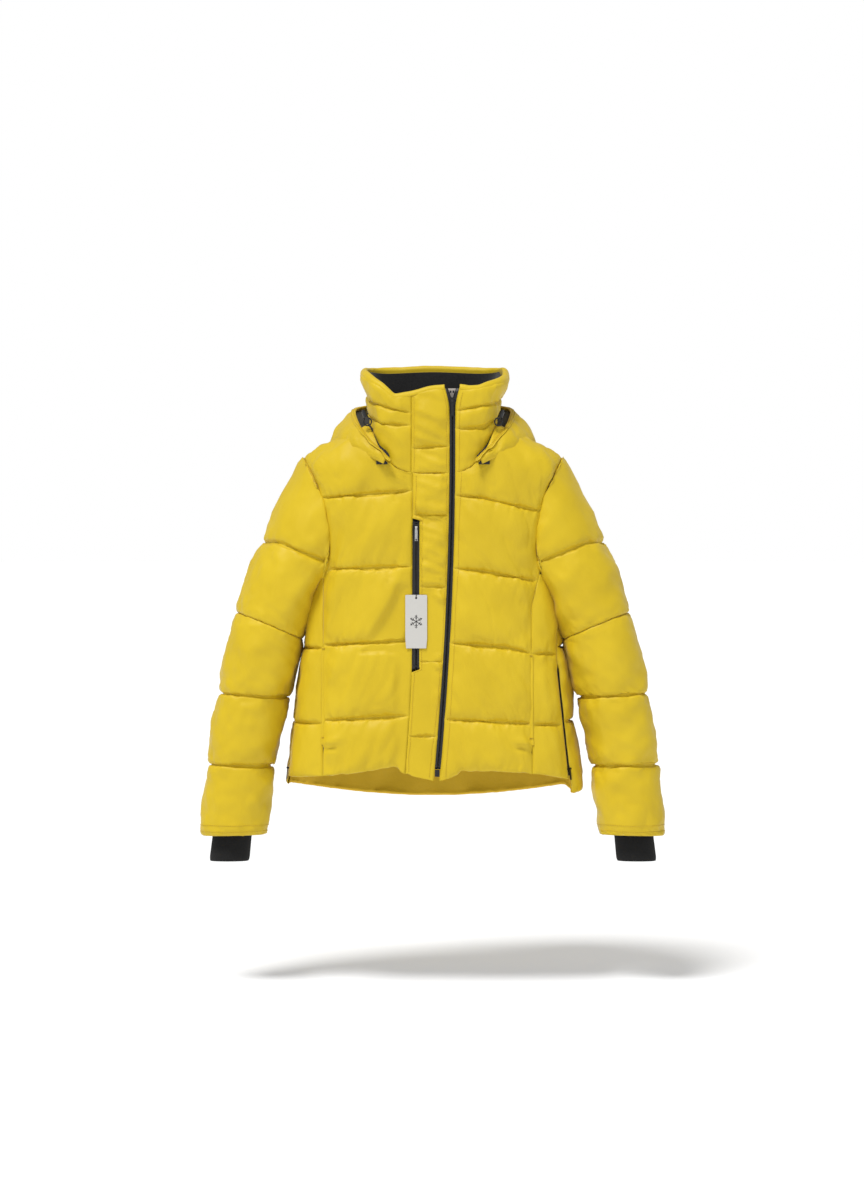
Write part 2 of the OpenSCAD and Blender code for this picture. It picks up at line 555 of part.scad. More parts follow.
// An elliptical tube of rib knit, a little narrower than the sleeve's end.
function rib_pt(b, t) = [mix(324, 330, t) + 32 * cos(b), -2 - 29 * sin(b), mix(-674, -714, t)];
module wrist_rib(side) {
    tube = function(s, t) mirrored(rib_pt(-side * 360 * s, t), side);
    color(TRIM) patch(tube, steps(20), [0, 1], 0, 3, closed = true);
}
module right_sleeve_cap() { color(CLOTH) sleeve_tube(-1, cap_t, 2, quilted_d); }
module right_upper_sleeve() { color(CLOTH) sleeve_tube(-1, upper_t, 4, quilted_d); }
module right_upper_lining() { color(LINING) sleeve_tube(-1, upper_t, 4, sleeve_lining_d); }
module right_elbow_baffle() { color(CLOTH) sleeve_tube(-1, baffle_t, 2, quilted_d); }
module right_lower_sleeve() { color(CLOTH) sleeve_tube(-1, lower_t, 5, quilted_d); }
module right_lower_lining() { color(LINING) sleeve_tube(-1, lower_t, 5, sleeve_lining_d); }
module right_wrist_rib() { wrist_rib(-1); }
module left_sleeve_cap() { color(CLOTH) sleeve_tube(1, cap_t, 2, quilted_d); }
module left_upper_sleeve() { color(CLOTH) sleeve_tube(1, upper_t, 4, quilted_d); }
module left_upper_lining() { color(LINING) sleeve_tube(1, upper_t, 4, sleeve_lining_d); }
module left_elbow_baffle() { color(CLOTH) sleeve_tube(1, baffle_t, 2, quilted_d); }
module left_lower_sleeve() { color(CLOTH) sleeve_tube(1, lower_t, 5, quilted_d); }
module left_lower_lining() { color(LINING) sleeve_tube(1, lower_t, 5, sleeve_lining_d); }
module left_wrist_rib() { wrist_rib(1); }

right_front_shell();
right_side_shell();
left_front_shell();
left_side_shell();
placket_shell();
back_shell();
right_front_padding();
placket_padding();
left_front_padding();
back_padding();
front_lining();
back_lining();
pocket_bags();
storm_flap();
hang_loop();
collar_shell();
collar_padding();
collar_lining();
hood_right_wing();
hood_left_wing();
hood_wing_lining();
hood_pouch();
hood_pouch_lining();
hood_tabs();
hood_cord_loops();
cord_lock_barrels();
right_cord_lock_plunger();
left_cord_lock_plunger();
main_zip_tapes();
main_zip_coils();
main_zip_end_fittings();
main_zip_slider();
main_zip_pull();
chest_zip_tapes();
chest_zip_stops();
chest_zip_slider();
chest_zip_pull();
tag_string();
swing_tag();
vent_zip_tapes();
right_vent_slider();
right_vent_pull();
left_vent_slider();
left_vent_pull();
right_sleeve_cap();
right_upper_sleeve();
right_upper_lining();
right_elbow_baffle();
right_lower_sleeve();
right_lower_lining();
right_wrist_rib();
left_sleeve_cap();
left_upper_sleeve();
left_upper_lining();
left_elbow_baffle();
left_lower_sleeve();
left_lower_lining();
left_wrist_rib();
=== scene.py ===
"""A quilted ski jacket, hanging: cloth, zips, lining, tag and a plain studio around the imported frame."""
import math

import bpy
import numpy as np
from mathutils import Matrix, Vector, noise


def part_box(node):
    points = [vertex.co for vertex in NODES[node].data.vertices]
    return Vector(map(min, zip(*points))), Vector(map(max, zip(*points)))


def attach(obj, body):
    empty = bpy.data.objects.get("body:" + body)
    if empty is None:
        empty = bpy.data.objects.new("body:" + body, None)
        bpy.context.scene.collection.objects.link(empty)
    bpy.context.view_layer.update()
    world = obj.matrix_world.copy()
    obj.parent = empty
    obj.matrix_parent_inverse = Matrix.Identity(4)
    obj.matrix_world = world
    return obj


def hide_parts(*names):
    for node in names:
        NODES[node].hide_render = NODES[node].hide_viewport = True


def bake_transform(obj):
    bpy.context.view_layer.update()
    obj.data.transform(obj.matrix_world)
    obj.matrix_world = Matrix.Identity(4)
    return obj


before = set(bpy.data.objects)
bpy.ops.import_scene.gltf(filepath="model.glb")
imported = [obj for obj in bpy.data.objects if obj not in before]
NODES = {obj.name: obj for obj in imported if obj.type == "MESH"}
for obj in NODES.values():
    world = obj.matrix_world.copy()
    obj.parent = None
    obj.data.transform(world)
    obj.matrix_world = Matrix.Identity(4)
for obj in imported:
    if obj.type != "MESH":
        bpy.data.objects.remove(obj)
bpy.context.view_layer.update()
SCENE = bpy.context.scene
RNG = np.random.RandomState(7)
MM = 0.001
SIDES = (("right", -1), ("left", 1))


# ---------------------------------------------------------------- the jacket's own dimensions, in mm
def edge(node, side, axis):
    """One face of a CAD node's box in mm: side 0 is the low one, axis 0 to 2 is X to Z."""
    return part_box(node)[side][axis] / MM


FRONT = -edge("placket_shell", 0, 1)          # depth of the front face
BACK = edge("back_shell", 1, 1)
HEM_HALF = edge("back_shell", 1, 0) - 0.5
HEM_Z = edge("left_front_shell", 0, 2)
TAIL_Z = edge("back_shell", 0, 2)
WRIST_Z = edge("left_lower_sleeve", 0, 2)
SHOULDER_HALF = 211.0
NECK_HALF = 102.0
NECK_Z = -5.0
SHOULDER_Z = -57.0
ARMPIT_Z = -262.0
FLAT_HALF = 48.0
ROUND = 2.6
ZIP_R = 5630.0
ZIP_AXIS = (31.2 - ZIP_R, -44.7)
CHEST_X = (edge("chest_zip_tapes", 0, 0) + edge("chest_zip_tapes", 1, 0)) / 2
CHEST_TOP = edge("chest_zip_tapes", 1, 2) + 1
CHEST_BOTTOM = edge("chest_zip_tapes", 0, 2) - 1
VENT_TOP = -400.0
ARMPIT_SHARE = 0.817                          # the body's width under the arms, as a share of the hem's
FRONT_CREST_H = 55                            # how far down the front and the back round over at the shoulder
BACK_CREST_H = 80
MID_Z = -200.0                                # where a panel's middle is taken, and where its solving starts
COLLAR_HALF = 119                             # half the collar's width at its top edge, before RIM_SHIFT
SHOULDER_DROP = 6.0                           # how far the shoulder's corner is rounded off
GRID = 6.5                                    # spacing of the cloth's grid
CHEST_RIGHT = CHEST_X + 5                     # the edge of the cloth beside the chest zip


def mix(a, b, t):
    return a + (b - a) * t


def run_of(path):
    """Length in mm along a path, at each of its points."""
    return np.concatenate([[0], np.cumsum(np.linalg.norm(np.diff(path, axis=0), axis=1))])


def corners(node):
    """The low and the high corner of a CAD node's box, in mm."""
    return (np.array(v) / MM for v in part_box(node))


def smooth(t):
    t = np.clip(t, 0, 1)
    return t * t * (3 - 2 * t)


def lookup(v, *pairs):
    """Straight lines through (v, value) pairs, in rising order of v."""
    return np.interp(v, [p[0] for p in pairs], [p[1] for p in pairs])


def spow(v, e):
    return np.sign(v) * np.abs(v) ** e


def half_w(z):
    low = HEM_HALF * lookup(z, (-630, 1.026), (-577, 1), (-400, 0.913), (-330, 0.864),
                            (ARMPIT_Z, ARMPIT_SHARE))
    arm = HEM_HALF * ARMPIT_SHARE
    high = mix(arm, SHOULDER_HALF + 3, (z - ARMPIT_Z) / (SHOULDER_Z - ARMPIT_Z))
    return np.where(z < ARMPIT_Z, low, high)


def arm_x(z):
    return lookup(z, (ARMPIT_Z, 188), (-245, 172), (-209, 166), (-173, 169), (-129, 178), (-107, 186),
                  (-86, 196), (SHOULDER_Z, SHOULDER_HALF))


def ridge(x):
    slope = mix(NECK_Z, SHOULDER_Z, (np.abs(x) - NECK_HALF) / (SHOULDER_HALF - NECK_HALF))
    return slope - SHOULDER_DROP * smooth((np.abs(x) - 172) / 44)


def neck_front(x):
    return mix(-86, NECK_Z, np.clip(np.abs(x) / NECK_HALF, 0, 1) ** 4)


def neck_back(x):
    return mix(-10, NECK_Z, np.clip(np.abs(x) / NECK_HALF, 0, 1) ** 2)


def front_top(x):
    return np.where(np.abs(x) < NECK_HALF, neck_front(x), ridge(x))


def back_top(x):
    return np.where(np.abs(x) < NECK_HALF, neck_back(x), ridge(x))


def rounding(x, w):
    return (1 - np.clip((np.abs(x) - FLAT_HALF) / (w - FLAT_HALF), 0, 1) ** ROUND) ** (1 / ROUND)


def crest(x, z, h):
    return np.sqrt(1 - (1 - np.clip((ridge(x) - z) / h, 0, 1)) ** 2)


def body_x(a, z):
    return half_w(z) * spow(np.sin(np.radians(a)), 2 / ROUND)


def body_pt(a, z):
    """A point of the body. Angle 0 is the centre front and 90 the wearer's left."""
    x = body_x(a, z)
    c = rounding(x, half_w(z))
    y = np.where(np.cos(np.radians(a)) > 0, -FRONT * c * crest(x, z, FRONT_CREST_H),
                 BACK * c * crest(x, z, BACK_CREST_H))
    return np.stack([x, y, z + 0 * x], -1)


def angle_at(x, z):
    return np.sign(x) * np.degrees(np.arcsin(np.clip(np.abs(x) / half_w(z), 0, 1) ** (ROUND / 2)))


def zip_x(z):
    return ZIP_AXIS[0] + np.sqrt(ZIP_R ** 2 - (z - ZIP_AXIS[1]) ** 2)


def zip_half(z):
    """Half of the gap that the main zip shows in. It opens into a V at the collar's top."""
    return 4.6 + 7 * np.clip((z - 22) / 34, 0, 1) ** 1.3


def placket_x(z):
    return -lookup(z, (-577, 45), (-476, 38), (-402, 34), (-90, 32.5), (60, 34))


def left_pocket_x(z):
    return np.where(z > -248, arm_x(z), lookup(z, (-577, 160), (-300, 158), (-248, 172)))


def right_pocket_x(z):
    return -np.where(z > -248, arm_x(z), 177)


def left_seam_a(z):
    return mix(67, 90, smooth((z + 400) / 130))


def right_seam_a(z):
    return -mix(86, 90, smooth((z + 400) / 130))


def vent_a(z):
    """The vent zips show in a narrow gap of the side seams."""
    return np.where(z < VENT_TOP, 1.5, 0.0)


# ---------------------------------------------------------------- sheets of cloth
# A sheet is a grid of points (rows, columns, 3) in mm with the rows and columns that are sewn down.
def sheet(points, rows=(), closed=False, edges=True, extra=None):
    n, m = points.shape[:2]
    pin = np.zeros((n, m), bool)
    for r in rows:
        pin[r] = True
    if edges:
        pin[0] = pin[-1] = True
        if not closed:
            pin[:, 0] = pin[:, -1] = True
    if extra is not None:
        pin |= extra
    return {"p": points, "pin": pin, "closed": closed, "rows": list(rows)}


def rows_between(lines_z, spacing=GRID):
    """Row counts for the quilted bands between the lines, from their heights on average."""
    return [max(3, int(round(abs(a - b) / spacing))) for a, b in zip(lines_z, lines_z[1:])]


def crowd(f):
    """Rows stand closer together near the quilt lines, where the creases are."""
    return f - 0.68 * np.sin(2 * np.pi * f) / (2 * np.pi)


def body_panel(start, end, lines, width, spacing=GRID):
    """A panel between two seams, given as angles over height, with quilt lines given as heights over x."""
    cols = max(4, int(round(width / spacing)))
    s = np.linspace(0, 1, cols + 1)

    def solve(za, zb, f):
        z = np.full_like(s, MID_Z)
        for _ in range(44):
            x = body_x(mix(start(z), end(z), s), z)
            z = 0.5 * z + 0.5 * mix(za(x), zb(x), f)
        return body_pt(mix(start(z), end(z), s), z)

    middle = np.array([body_x(mix(start(MID_Z), end(MID_Z), 0.5), MID_Z)])
    mid = [float(np.mean(quilt(middle))) for quilt in lines]
    counts = rows_between(mid, spacing)
    out, seams = [], []
    for k, n in enumerate(counts):
        seams.append(len(out))
        for i in range(n):
            out.append(solve(lines[k], lines[k + 1], crowd(i / n)))
    out.append(solve(lines[-2], lines[-1], 1.0))
    return sheet(np.array(out), seams)


def line(*pairs):
    """A quilt line: heights over x."""
    return lambda x: lookup(x, *pairs)


def level(z):
    return lambda x: z + 0 * x


def gathered_hem(x):
    """The front hem, drawn up beside the placket and the zip."""
    return HEM_Z + lookup(x, (-215, 1), (-142, 6), (-83, 15), (-58, 16), (-50, 9), (-30, 3), (7, -5), (40, 4),
                          (50, 10), (96, 12), (175, 6), (215, -2))


def tail(x):
    """The back hem, with a corner that hangs lower beside the vent on the wearer's left."""
    return mix(TAIL_Z, -588, np.clip(np.abs(x) / HEM_HALF, 0, 1) ** 2) - 13 * smooth((x - 212) / 18)


def back_arm_a(z, seam_a):
    return np.where(z > ARMPIT_Z, 180 - angle_at(arm_x(z), z), seam_a)


def under_arm(x):
    """The top of a side panel: the lower front of the armhole."""
    return lookup(np.abs(x), (171, -244), (177, -250.5), (188, ARMPIT_Z), (200, ARMPIT_Z))


def placket_edge(z):
    """The placket's outer edge steps in beside the chest zip."""
    return np.where((z < CHEST_TOP) & (z > CHEST_BOTTOM), CHEST_RIGHT, placket_x(z))


RIGHT_LINES = [line((-177, -126), (-33, -114)), line((-177, -241), (-34, -236)),
               line((-177, -363), (-36, -355)), line((-177, -484), (-39, -476))]
LEFT_LINES = [line((35, -122), (76, -125), (120, -136), (167, -146)),
              line((30, -239), (76, -243), (158, -258)), line((25, -359), (118, -366), (158, -376)),
              line((20, -482), (118, -487), (160, -489))]
SHEETS = {
    "right_front": body_panel(lambda z: angle_at(right_pocket_x(z), z), lambda z: angle_at(placket_x(z), z),
                              [front_top] + RIGHT_LINES + [gathered_hem], 175),
    "placket": body_panel(lambda z: angle_at(placket_edge(z), z),
                          lambda z: angle_at(zip_x(z) - zip_half(z), z),
                          [front_top, level(-153), level(-269), level(-389), level(-509), gathered_hem],
                          60, spacing=5),
    "left_front": body_panel(lambda z: angle_at(zip_x(z) + zip_half(z), z),
                             lambda z: angle_at(left_pocket_x(z), z),
                             [front_top] + LEFT_LINES + [gathered_hem], 175),
    "right_side": body_panel(lambda z: right_seam_a(z) + vent_a(z), lambda z: angle_at(right_pocket_x(z), z),
                             [under_arm, level(-368), level(-489), gathered_hem], 66),
    "left_side": body_panel(lambda z: angle_at(left_pocket_x(z), z), lambda z: left_seam_a(z) - vent_a(z),
                            [under_arm, level(-377), level(-491), gathered_hem], 66),
    "back_panel": body_panel(lambda z: back_arm_a(z, left_seam_a(z) + vent_a(z)),
                             lambda z: 360 - back_arm_a(z, -right_seam_a(z) + vent_a(z)),
                             [back_top, level(-128), level(-246), level(-366), level(-486), tail],
                             520, spacing=7.5),
}


# ---- collar
RIM_SHIFT = 3.0


def collar_front_rim(x):
    return lookup(x, (-115, 73), (-99, 62), (-83, 53), (-63, 36), (-37, 40), (0, 50), (26, 52), (36, 53),
                  (57, 49), (76, 51), (112, 61), (124, 66))


def collar_pt(a, t):
    """The collar from its top edge, t 0, down to the neck seam, t 1."""
    sin_a, cos_a = np.sin(np.radians(a)), np.cos(np.radians(a))
    x1 = NECK_HALF * spow(sin_a, 2 / ROUND)
    c1 = rounding(x1, NECK_HALF)
    base = np.stack([x1, np.where(cos_a > 0, -FRONT * c1, 0.92 * BACK * c1),
                     np.where(cos_a > 0, neck_front(x1), neck_back(x1))], -1)
    x0 = COLLAR_HALF * spow(sin_a, 2 / ROUND)
    c0 = rounding(x0, COLLAR_HALF)
    x_rim = x0 + RIM_SHIFT * np.abs(sin_a)
    side = smooth(0.5 + cos_a * 2.2)
    rim_z = mix(mix(84, 78, np.abs(sin_a)), collar_front_rim(x_rim), side)
    rim = np.stack([x_rim, np.where(cos_a > 0, -FRONT * c0, 78 * c0), rim_z], -1)
    t = np.asarray(t)[..., None]
    p = rim * (1 - t) + base * t
    p[..., 0] -= np.sign(sin_a) * 5 * np.sin(np.pi * t[..., 0]) * sin_a ** 2
    return p


def collar_angle(x, t):
    w = mix(COLLAR_HALF, NECK_HALF, t)
    return np.sign(x) * np.degrees(np.arcsin(np.clip(np.abs(x) / w, 0, 1) ** (ROUND / 2)))


COLLAR_SEAM = -35.0                           # the placket's seam runs on up the collar


def collar_line(back_z, *pairs):
    """A quilt line of the collar, from its heights over x in front and one height at the back."""
    def share_of(a):
        top, foot = collar_pt(a, 0 * a), collar_pt(a, 0 * a + 1)
        z = mix(back_z, lookup(top[..., 0], *pairs), smooth(0.5 + np.cos(np.radians(a)) * 1.2))
        return np.clip((top[..., 2] - z) / (top[..., 2] - foot[..., 2]), 0.12, 0.9)
    return share_of


UPPER_LINE = collar_line(48, (-115, 30), (-76, 19), (-32, 9), (36, 13), (112, 27))
LOWER_LINE = collar_line(18, (-115, 4), (-90, -7), (-32, -10), (36, -15), (92, -13), (115, 0))


def share(t):
    return lambda a: t + 0 * a


def collar_grid(lines, counts, cols, left_of_zip=True, inset=0.0, seam=True):
    """Rows from the collar's top edge down. Its two parts meet at the placket's seam."""
    out, sewn = [], []

    def row(t_of):
        a = np.linspace(0, 360, cols + 1)
        for _ in range(4):
            t = t_of(a)
            z = mix(56, -86, t)
            half = zip_half(z) + inset
            side = COLLAR_SEAM if seam else zip_x(z[-1]) - half[-1]
            if left_of_zip:
                ends = (collar_angle(zip_x(z[0]) + half[0], t[0]), collar_angle(side, t[-1]) + 360)
            else:
                ends = (collar_angle(COLLAR_SEAM, t[0]) + 360,
                        collar_angle(zip_x(z[-1]) - half[-1], t[-1]) + 360)
            a = np.linspace(ends[0], ends[1], cols + 1)
        return collar_pt(a, t_of(a))

    for k, n in enumerate(counts):
        sewn.append(len(out))
        for f in np.linspace(0, 1, n, endpoint=False):
            out.append(row(lambda a, f=f, k=k: mix(lines[k](a), lines[k + 1](a), crowd(f))))
    out.append(row(lines[-1]))
    return np.array(out), sewn


SHEETS["collar"] = sheet(*collar_grid([share(0.0), UPPER_LINE, LOWER_LINE, share(1.0)], [7, 5, 10], 96))
SHEETS["collar_placket"] = sheet(*collar_grid([share(0.0), share(0.69), share(1.0)], [17, 8], 11, False))


# ---- hood, folded down
def hood_out(w, t):
    """The folded hood's outside. w is 0 at the centre back and 1 at the front corner, t 0 at the rim."""
    rim = np.stack([lookup(w, (0, 0), (0.35, 92), (0.6, 130), (0.8, 118), (0.9, 101), (1, 72)),
                    lookup(w, (0, 134), (0.35, 104), (0.6, 34), (0.8, -60), (0.9, -89), (1, -104)),
                    lookup(w, (0, 24), (0.35, 27), (0.6, 19), (0.8, -11), (0.9, -35), (1, -60))], -1)
    foot = np.stack([lookup(w, (0, 0), (0.12, 68), (0.3, 134), (0.45, 160), (0.6, 172), (0.7, 156),
                            (0.8, 132), (1, 80)),
                     lookup(w, (0, 150), (0.12, 146), (0.3, 112), (0.45, 80), (0.6, 24), (0.7, -36),
                            (0.8, -78), (1, -107)),
                     lookup(w, (0, -212), (0.12, -205), (0.3, -150), (0.45, -92), (0.6, -36), (0.7, -40),
                            (0.8, -46), (0.9, -58), (1, -71))], -1)
    bulge = np.stack([lookup(w, (0, 0), (0.3, 14), (0.6, 1), (1, 0)),
                      lookup(w, (0, 20), (0.3, 14), (0.6, 2), (1, -3)),
                      lookup(w, (0, 0), (0.6, 3), (0.8, 5), (1, 2))], -1)
    t = np.asarray(t)[..., None]
    return rim * (1 - t) + foot * t + bulge * np.sin(np.pi * t)


def soften(p, times):
    """Rounds off the corners of a grid along its rows."""
    for _ in range(times):
        q = p.copy()
        q[:, 1:-1] = (p[:, :-2] + 2 * p[:, 1:-1] + p[:, 2:]) / 4
        p = q
    return p


def hood_points():
    """The whole hood, from the wearer's right front corner round the back to the left one."""
    w = np.linspace(-1, 1, 119)
    p = np.array([hood_out(np.abs(w), np.full_like(w, t)) for t in np.linspace(0, 1, 17)])
    p[..., 0] *= np.sign(w)
    return soften(p, 16)


SHEETS["hood"] = sheet(hood_points()[:, ::-1])

# ---- sleeves
RING_T = [0, 0.06, 0.13, 0.22, 0.33, 0.43, 0.52, 0.64, 0.79, 1]
OUTER = np.array([(206, -63), (229, -100), (260, -158), (291, -230), (312, -300), (327, -362), (339, -415),
                  (350, -480), (361, -560), (373, WRIST_Z)])
INNER = np.array([(191, -262), (200, -272), (206, -291), (210, -320), (214, -352), (221, -388), (231, -425),
                  (245, -480), (262, -562), (273, WRIST_Z + 2)])
DEPTH = [77, 76, 75, 73, 70, 66, 62, 57, 50, 42]


def follow(table, t):
    """A smooth curve through the ring table."""
    fine = np.linspace(0, 1, 201)
    v = np.interp(fine, RING_T, table)
    pad = np.pad(v, 6, mode="reflect", reflect_type="odd")
    return np.interp(t, fine, np.convolve(pad, np.ones(13) / 13, "valid"))


def armhole_curve():
    """The armhole's edge, from the shoulder down the front and up the back, with each point's place."""
    top = SHOULDER_Z
    for _ in range(40):
        top = float(ridge(arm_x(top)))
    z = np.linspace(top, ARMPIT_Z, 60)
    x = arm_x(z)
    c = rounding(x, half_w(z))
    front = np.stack([x, -FRONT * c * crest(x, z, FRONT_CREST_H), z], -1)
    back = np.stack([x, BACK * c * crest(x, z, BACK_CREST_H), z], -1)[::-1]
    a = np.linspace(float(angle_at(x[-1], ARMPIT_Z)), 180 - float(angle_at(x[-1], ARMPIT_Z)), 30)
    under = body_pt(a, np.full_like(a, ARMPIT_Z))
    p = np.concatenate([front, under[1:-1], back])
    d = run_of(p)
    return p, d / d[-1]


ARMHOLE = armhole_curve()


def sleeve_pt(b, t):
    """A point of the left sleeve. b is 0 on the outside and 90 in front, and t runs down to the wrist."""
    o = np.stack([follow(OUTER[:, 0], t), follow(OUTER[:, 1], t)], -1)
    i = np.stack([follow(INNER[:, 0], t), follow(INNER[:, 1], t)], -1)
    c = spow(np.cos(np.radians(b)), 0.85)
    s = spow(np.sin(np.radians(b)), 0.85)
    p = (o + i) / 2 + c[..., None] * (o - i) / 2
    hug = 31 * (1 - smooth(t / 0.45))
    q = np.stack([p[..., 0] - hug * np.abs(s), 4 - s * follow(DEPTH, t) - 6 * t, p[..., 1]], -1)
    ring, d = ARMHOLE
    start = np.stack([np.interp(b / 360, d, ring[:, k]) for k in range(3)], -1)
    return mix(start, q, smooth(t / 0.14)[..., None])


SLEEVE_COLS = 48
QUILT_T = (0.57, 0.785)
ELBOW_T = (0.35, 0.335)                       # the second quilt line, outside and inside the arm


def first_quilt_t(b):
    """The sleeve's first quilt line falls from the outside of the arm to the lower armhole."""
    low, high = 0.03 + 0 * b, 0.45 + 0 * b
    for _ in range(14):
        t = (low + high) / 2
        p = sleeve_pt(b, t)
        above = p[..., 2] > lookup(p[..., 0], (173, -228), (250, -198))
        low, high = np.where(above, t, low), np.where(above, high, t)
    return (low + high) / 2


def sleeve_sheet(side, bands):
    b = np.linspace(0, 360, SLEEVE_COLS, endpoint=False)
    out, seams = [], []
    for k, (lo, hi, n) in enumerate(bands):
        seams.append(len(out))
        last = k == len(bands) - 1
        for f in np.linspace(0, 1, n + 1)[: n + 1 if last else n]:
            out.append(sleeve_pt(b, mix(lo(b), hi(b), crowd(f))))
    p = np.array(out)
    p[..., 0] *= side
    if side > 0:
        p = p[:, ::-1]
    return sheet(p, seams, closed=True)


def const(t):
    return lambda b: t + 0 * b


def elbow_line(b):
    return mix(*ELBOW_T, smooth(np.minimum(b, 360 - b) / 180))


UPPER_BANDS = [(const(0.0), first_quilt_t, 12), (first_quilt_t, elbow_line, 19)]
LOWER_BANDS = [(elbow_line, const(QUILT_T[0]), 20), (const(QUILT_T[0]), const(QUILT_T[1]), 18),
               (const(QUILT_T[1]), const(1.0), 19)]
for name, side in SIDES:
    SHEETS[name + "_upper_sleeve_cloth"] = sleeve_sheet(side, UPPER_BANDS)
    SHEETS[name + "_lower_sleeve_cloth"] = sleeve_sheet(side, LOWER_BANDS)


# ---------------------------------------------------------------- cloth simulation
def faces_of(n, m, closed, start=0):
    out = []
    for j in range(n - 1):
        for i in range(m if closed else m - 1):
            k = (i + 1) % m
            this, below = start + j * m, start + (j + 1) * m
            out.append((this + i, below + i, below + k, this + k))
    return out


def neighbours(p, closed):
    """Each point's neighbours in a grid: up, down, left and right."""
    up = np.concatenate([p[:1], p[:-1]], 0)
    down = np.concatenate([p[1:], p[-1:]], 0)
    left = np.roll(p, 1, 1) if closed else np.concatenate([p[:, :1], p[:, :-1]], 1)
    right = np.roll(p, -1, 1) if closed else np.concatenate([p[:, 1:], p[:, -1:]], 1)
    return up, down, left, right


def outward(p, closed):
    """Unit normals of a grid, the way its faces look."""
    up, down, left, right = neighbours(p, closed)
    n = np.cross(down - up, right - left)
    return n / np.maximum(np.linalg.norm(n, axis=-1, keepdims=True), 1e-9)


def band_height(s):
    """How high a band stands at each point: 0 at the sewn lines and 1 halfway between them."""
    n, m = s["p"].shape[:2]
    marks = sorted(set(s["rows"] + [0, n - 1]))
    v = np.zeros(n)
    for a, b in zip(marks, marks[1:]):
        v[a:b + 1] = np.sin(np.pi * np.linspace(0, 1, b - a + 1))
    u = np.ones(m) if s["closed"] else np.clip(np.minimum(np.arange(m), m - 1 - np.arange(m)) / 4, 0, 1)
    return v[:, None] ** 0.6 * np.sin(np.pi / 2 * u)[None, :]


def simulate(sheets, frames=20, pressure=3.0, extra_cloth=0.018):
    """Blows the quilted bands up: every sheet has a little more cloth than the lines it is sewn to."""
    verts, faces, pins, spans = [], [], [], {}
    for name, s in sheets.items():
        n, m = s["p"].shape[:2]
        spans[name] = (len(verts), n, m)
        faces += faces_of(n, m, s["closed"], len(verts))
        start_height = band_height(s) * (2.0 + RNG.uniform(-1, 1, (n, m)) * 0.8)
        bump = outward(s["p"], s["closed"]) * start_height[..., None]
        verts += list(((s["p"] + bump) * MM).reshape(-1, 3))
        pins += list(s["pin"].reshape(-1))
    mesh = bpy.data.meshes.new("cloth_work")
    mesh.from_pydata([tuple(v) for v in verts], [], faces)
    obj = bpy.data.objects.new("cloth_work", mesh)
    SCENE.collection.objects.link(obj)
    group = obj.vertex_groups.new(name="sewn")
    group.add([i for i, v in enumerate(pins) if v], 1.0, "REPLACE")
    cloth = obj.modifiers.new("Cloth", "CLOTH")
    c = cloth.settings
    c.quality = 6
    c.mass = 0.12
    c.tension_stiffness = c.compression_stiffness = 12
    c.shear_stiffness = 6
    c.bending_stiffness = 0.35
    c.tension_damping = c.compression_damping = c.shear_damping = 8
    c.bending_damping = 0.6
    c.air_damping = 3
    c.vertex_group_mass = "sewn"
    c.pin_stiffness = 1
    c.shrink_min = -extra_cloth
    c.use_pressure = True
    c.uniform_pressure_force = pressure
    c.effector_weights.gravity = 0
    cloth.collision_settings.use_collision = False
    cloth.collision_settings.use_self_collision = False
    cloth.point_cache.frame_start = 1
    cloth.point_cache.frame_end = frames
    for f in range(1, frames + 1):
        SCENE.frame_set(f)
    made = obj.evaluated_get(bpy.context.evaluated_depsgraph_get()).to_mesh()
    co = np.empty(len(made.vertices) * 3)
    made.vertices.foreach_get("co", co)
    co = co.reshape(-1, 3) / MM
    bpy.data.objects.remove(obj)
    SCENE.frame_set(1)
    for name, (start, n, m) in spans.items():
        sheets[name]["sim"] = co[start:start + n * m].reshape(n, m, 3)


PUFF = 6.0                                    # how far a band's crown stands out of its seams, about


def blur(v, closed):
    """Evens out small lumps, one neighbour each way."""
    for _ in range(2):
        up, down, left, right = neighbours(v, closed)
        inner = (up + down + left + right) / 8 + v / 2
        v = np.concatenate([v[:1], inner[1:-1], v[-1:]])
        if not closed:
            v[:, 0] = v[:, -1] = 0
    return v


def settle(s, most=8.0, least=-5.0):
    """The sheet after the simulation, held within a few mm of where the sheet was sewn."""
    normal = outward(s["p"], s["closed"])
    if "sim" not in s:
        return s["p"] + normal * (band_height(s) * PUFF)[..., None]
    move = blur(s["sim"] - s["p"], s["closed"])
    out = (move * normal).sum(-1, keepdims=True)
    side = move - out * normal
    length = np.linalg.norm(side, axis=-1, keepdims=True)
    side *= np.minimum(1, 5 / np.maximum(length, 1e-6))
    out = np.where(out > 0, most * np.tanh(out / most), least * np.tanh(out / least))
    out += (band_height(s) * PUFF * 0.5)[..., None]
    return s["p"] + out * normal + side


def twice(p, wrap):
    """Doubles the rows of a grid, on smooth curves."""
    before, after = (p[-1:], p[:2]) if wrap else (2 * p[:1] - p[1:2], 2 * p[-1:] - p[-2:-1])
    q = np.concatenate([before, p, after])
    mid = (9 * (q[1:-2] + q[2:-1]) - q[:-3] - q[3:]) / 16
    keep = p if wrap else p[:-1]
    out = np.empty((2 * len(keep),) + p.shape[1:])
    out[0::2], out[1::2] = keep, mid[:len(keep)]
    return out if wrap else np.concatenate([out, p[-1:]])


def travel(p, axis):
    """Length in mm along a grid's columns, axis 0, or rows, axis 1."""
    d = np.linalg.norm(np.diff(p, axis=axis), axis=-1)
    zero = np.zeros_like(np.take(d, [0], axis))
    return np.concatenate([zero, np.cumsum(d, axis)], axis)


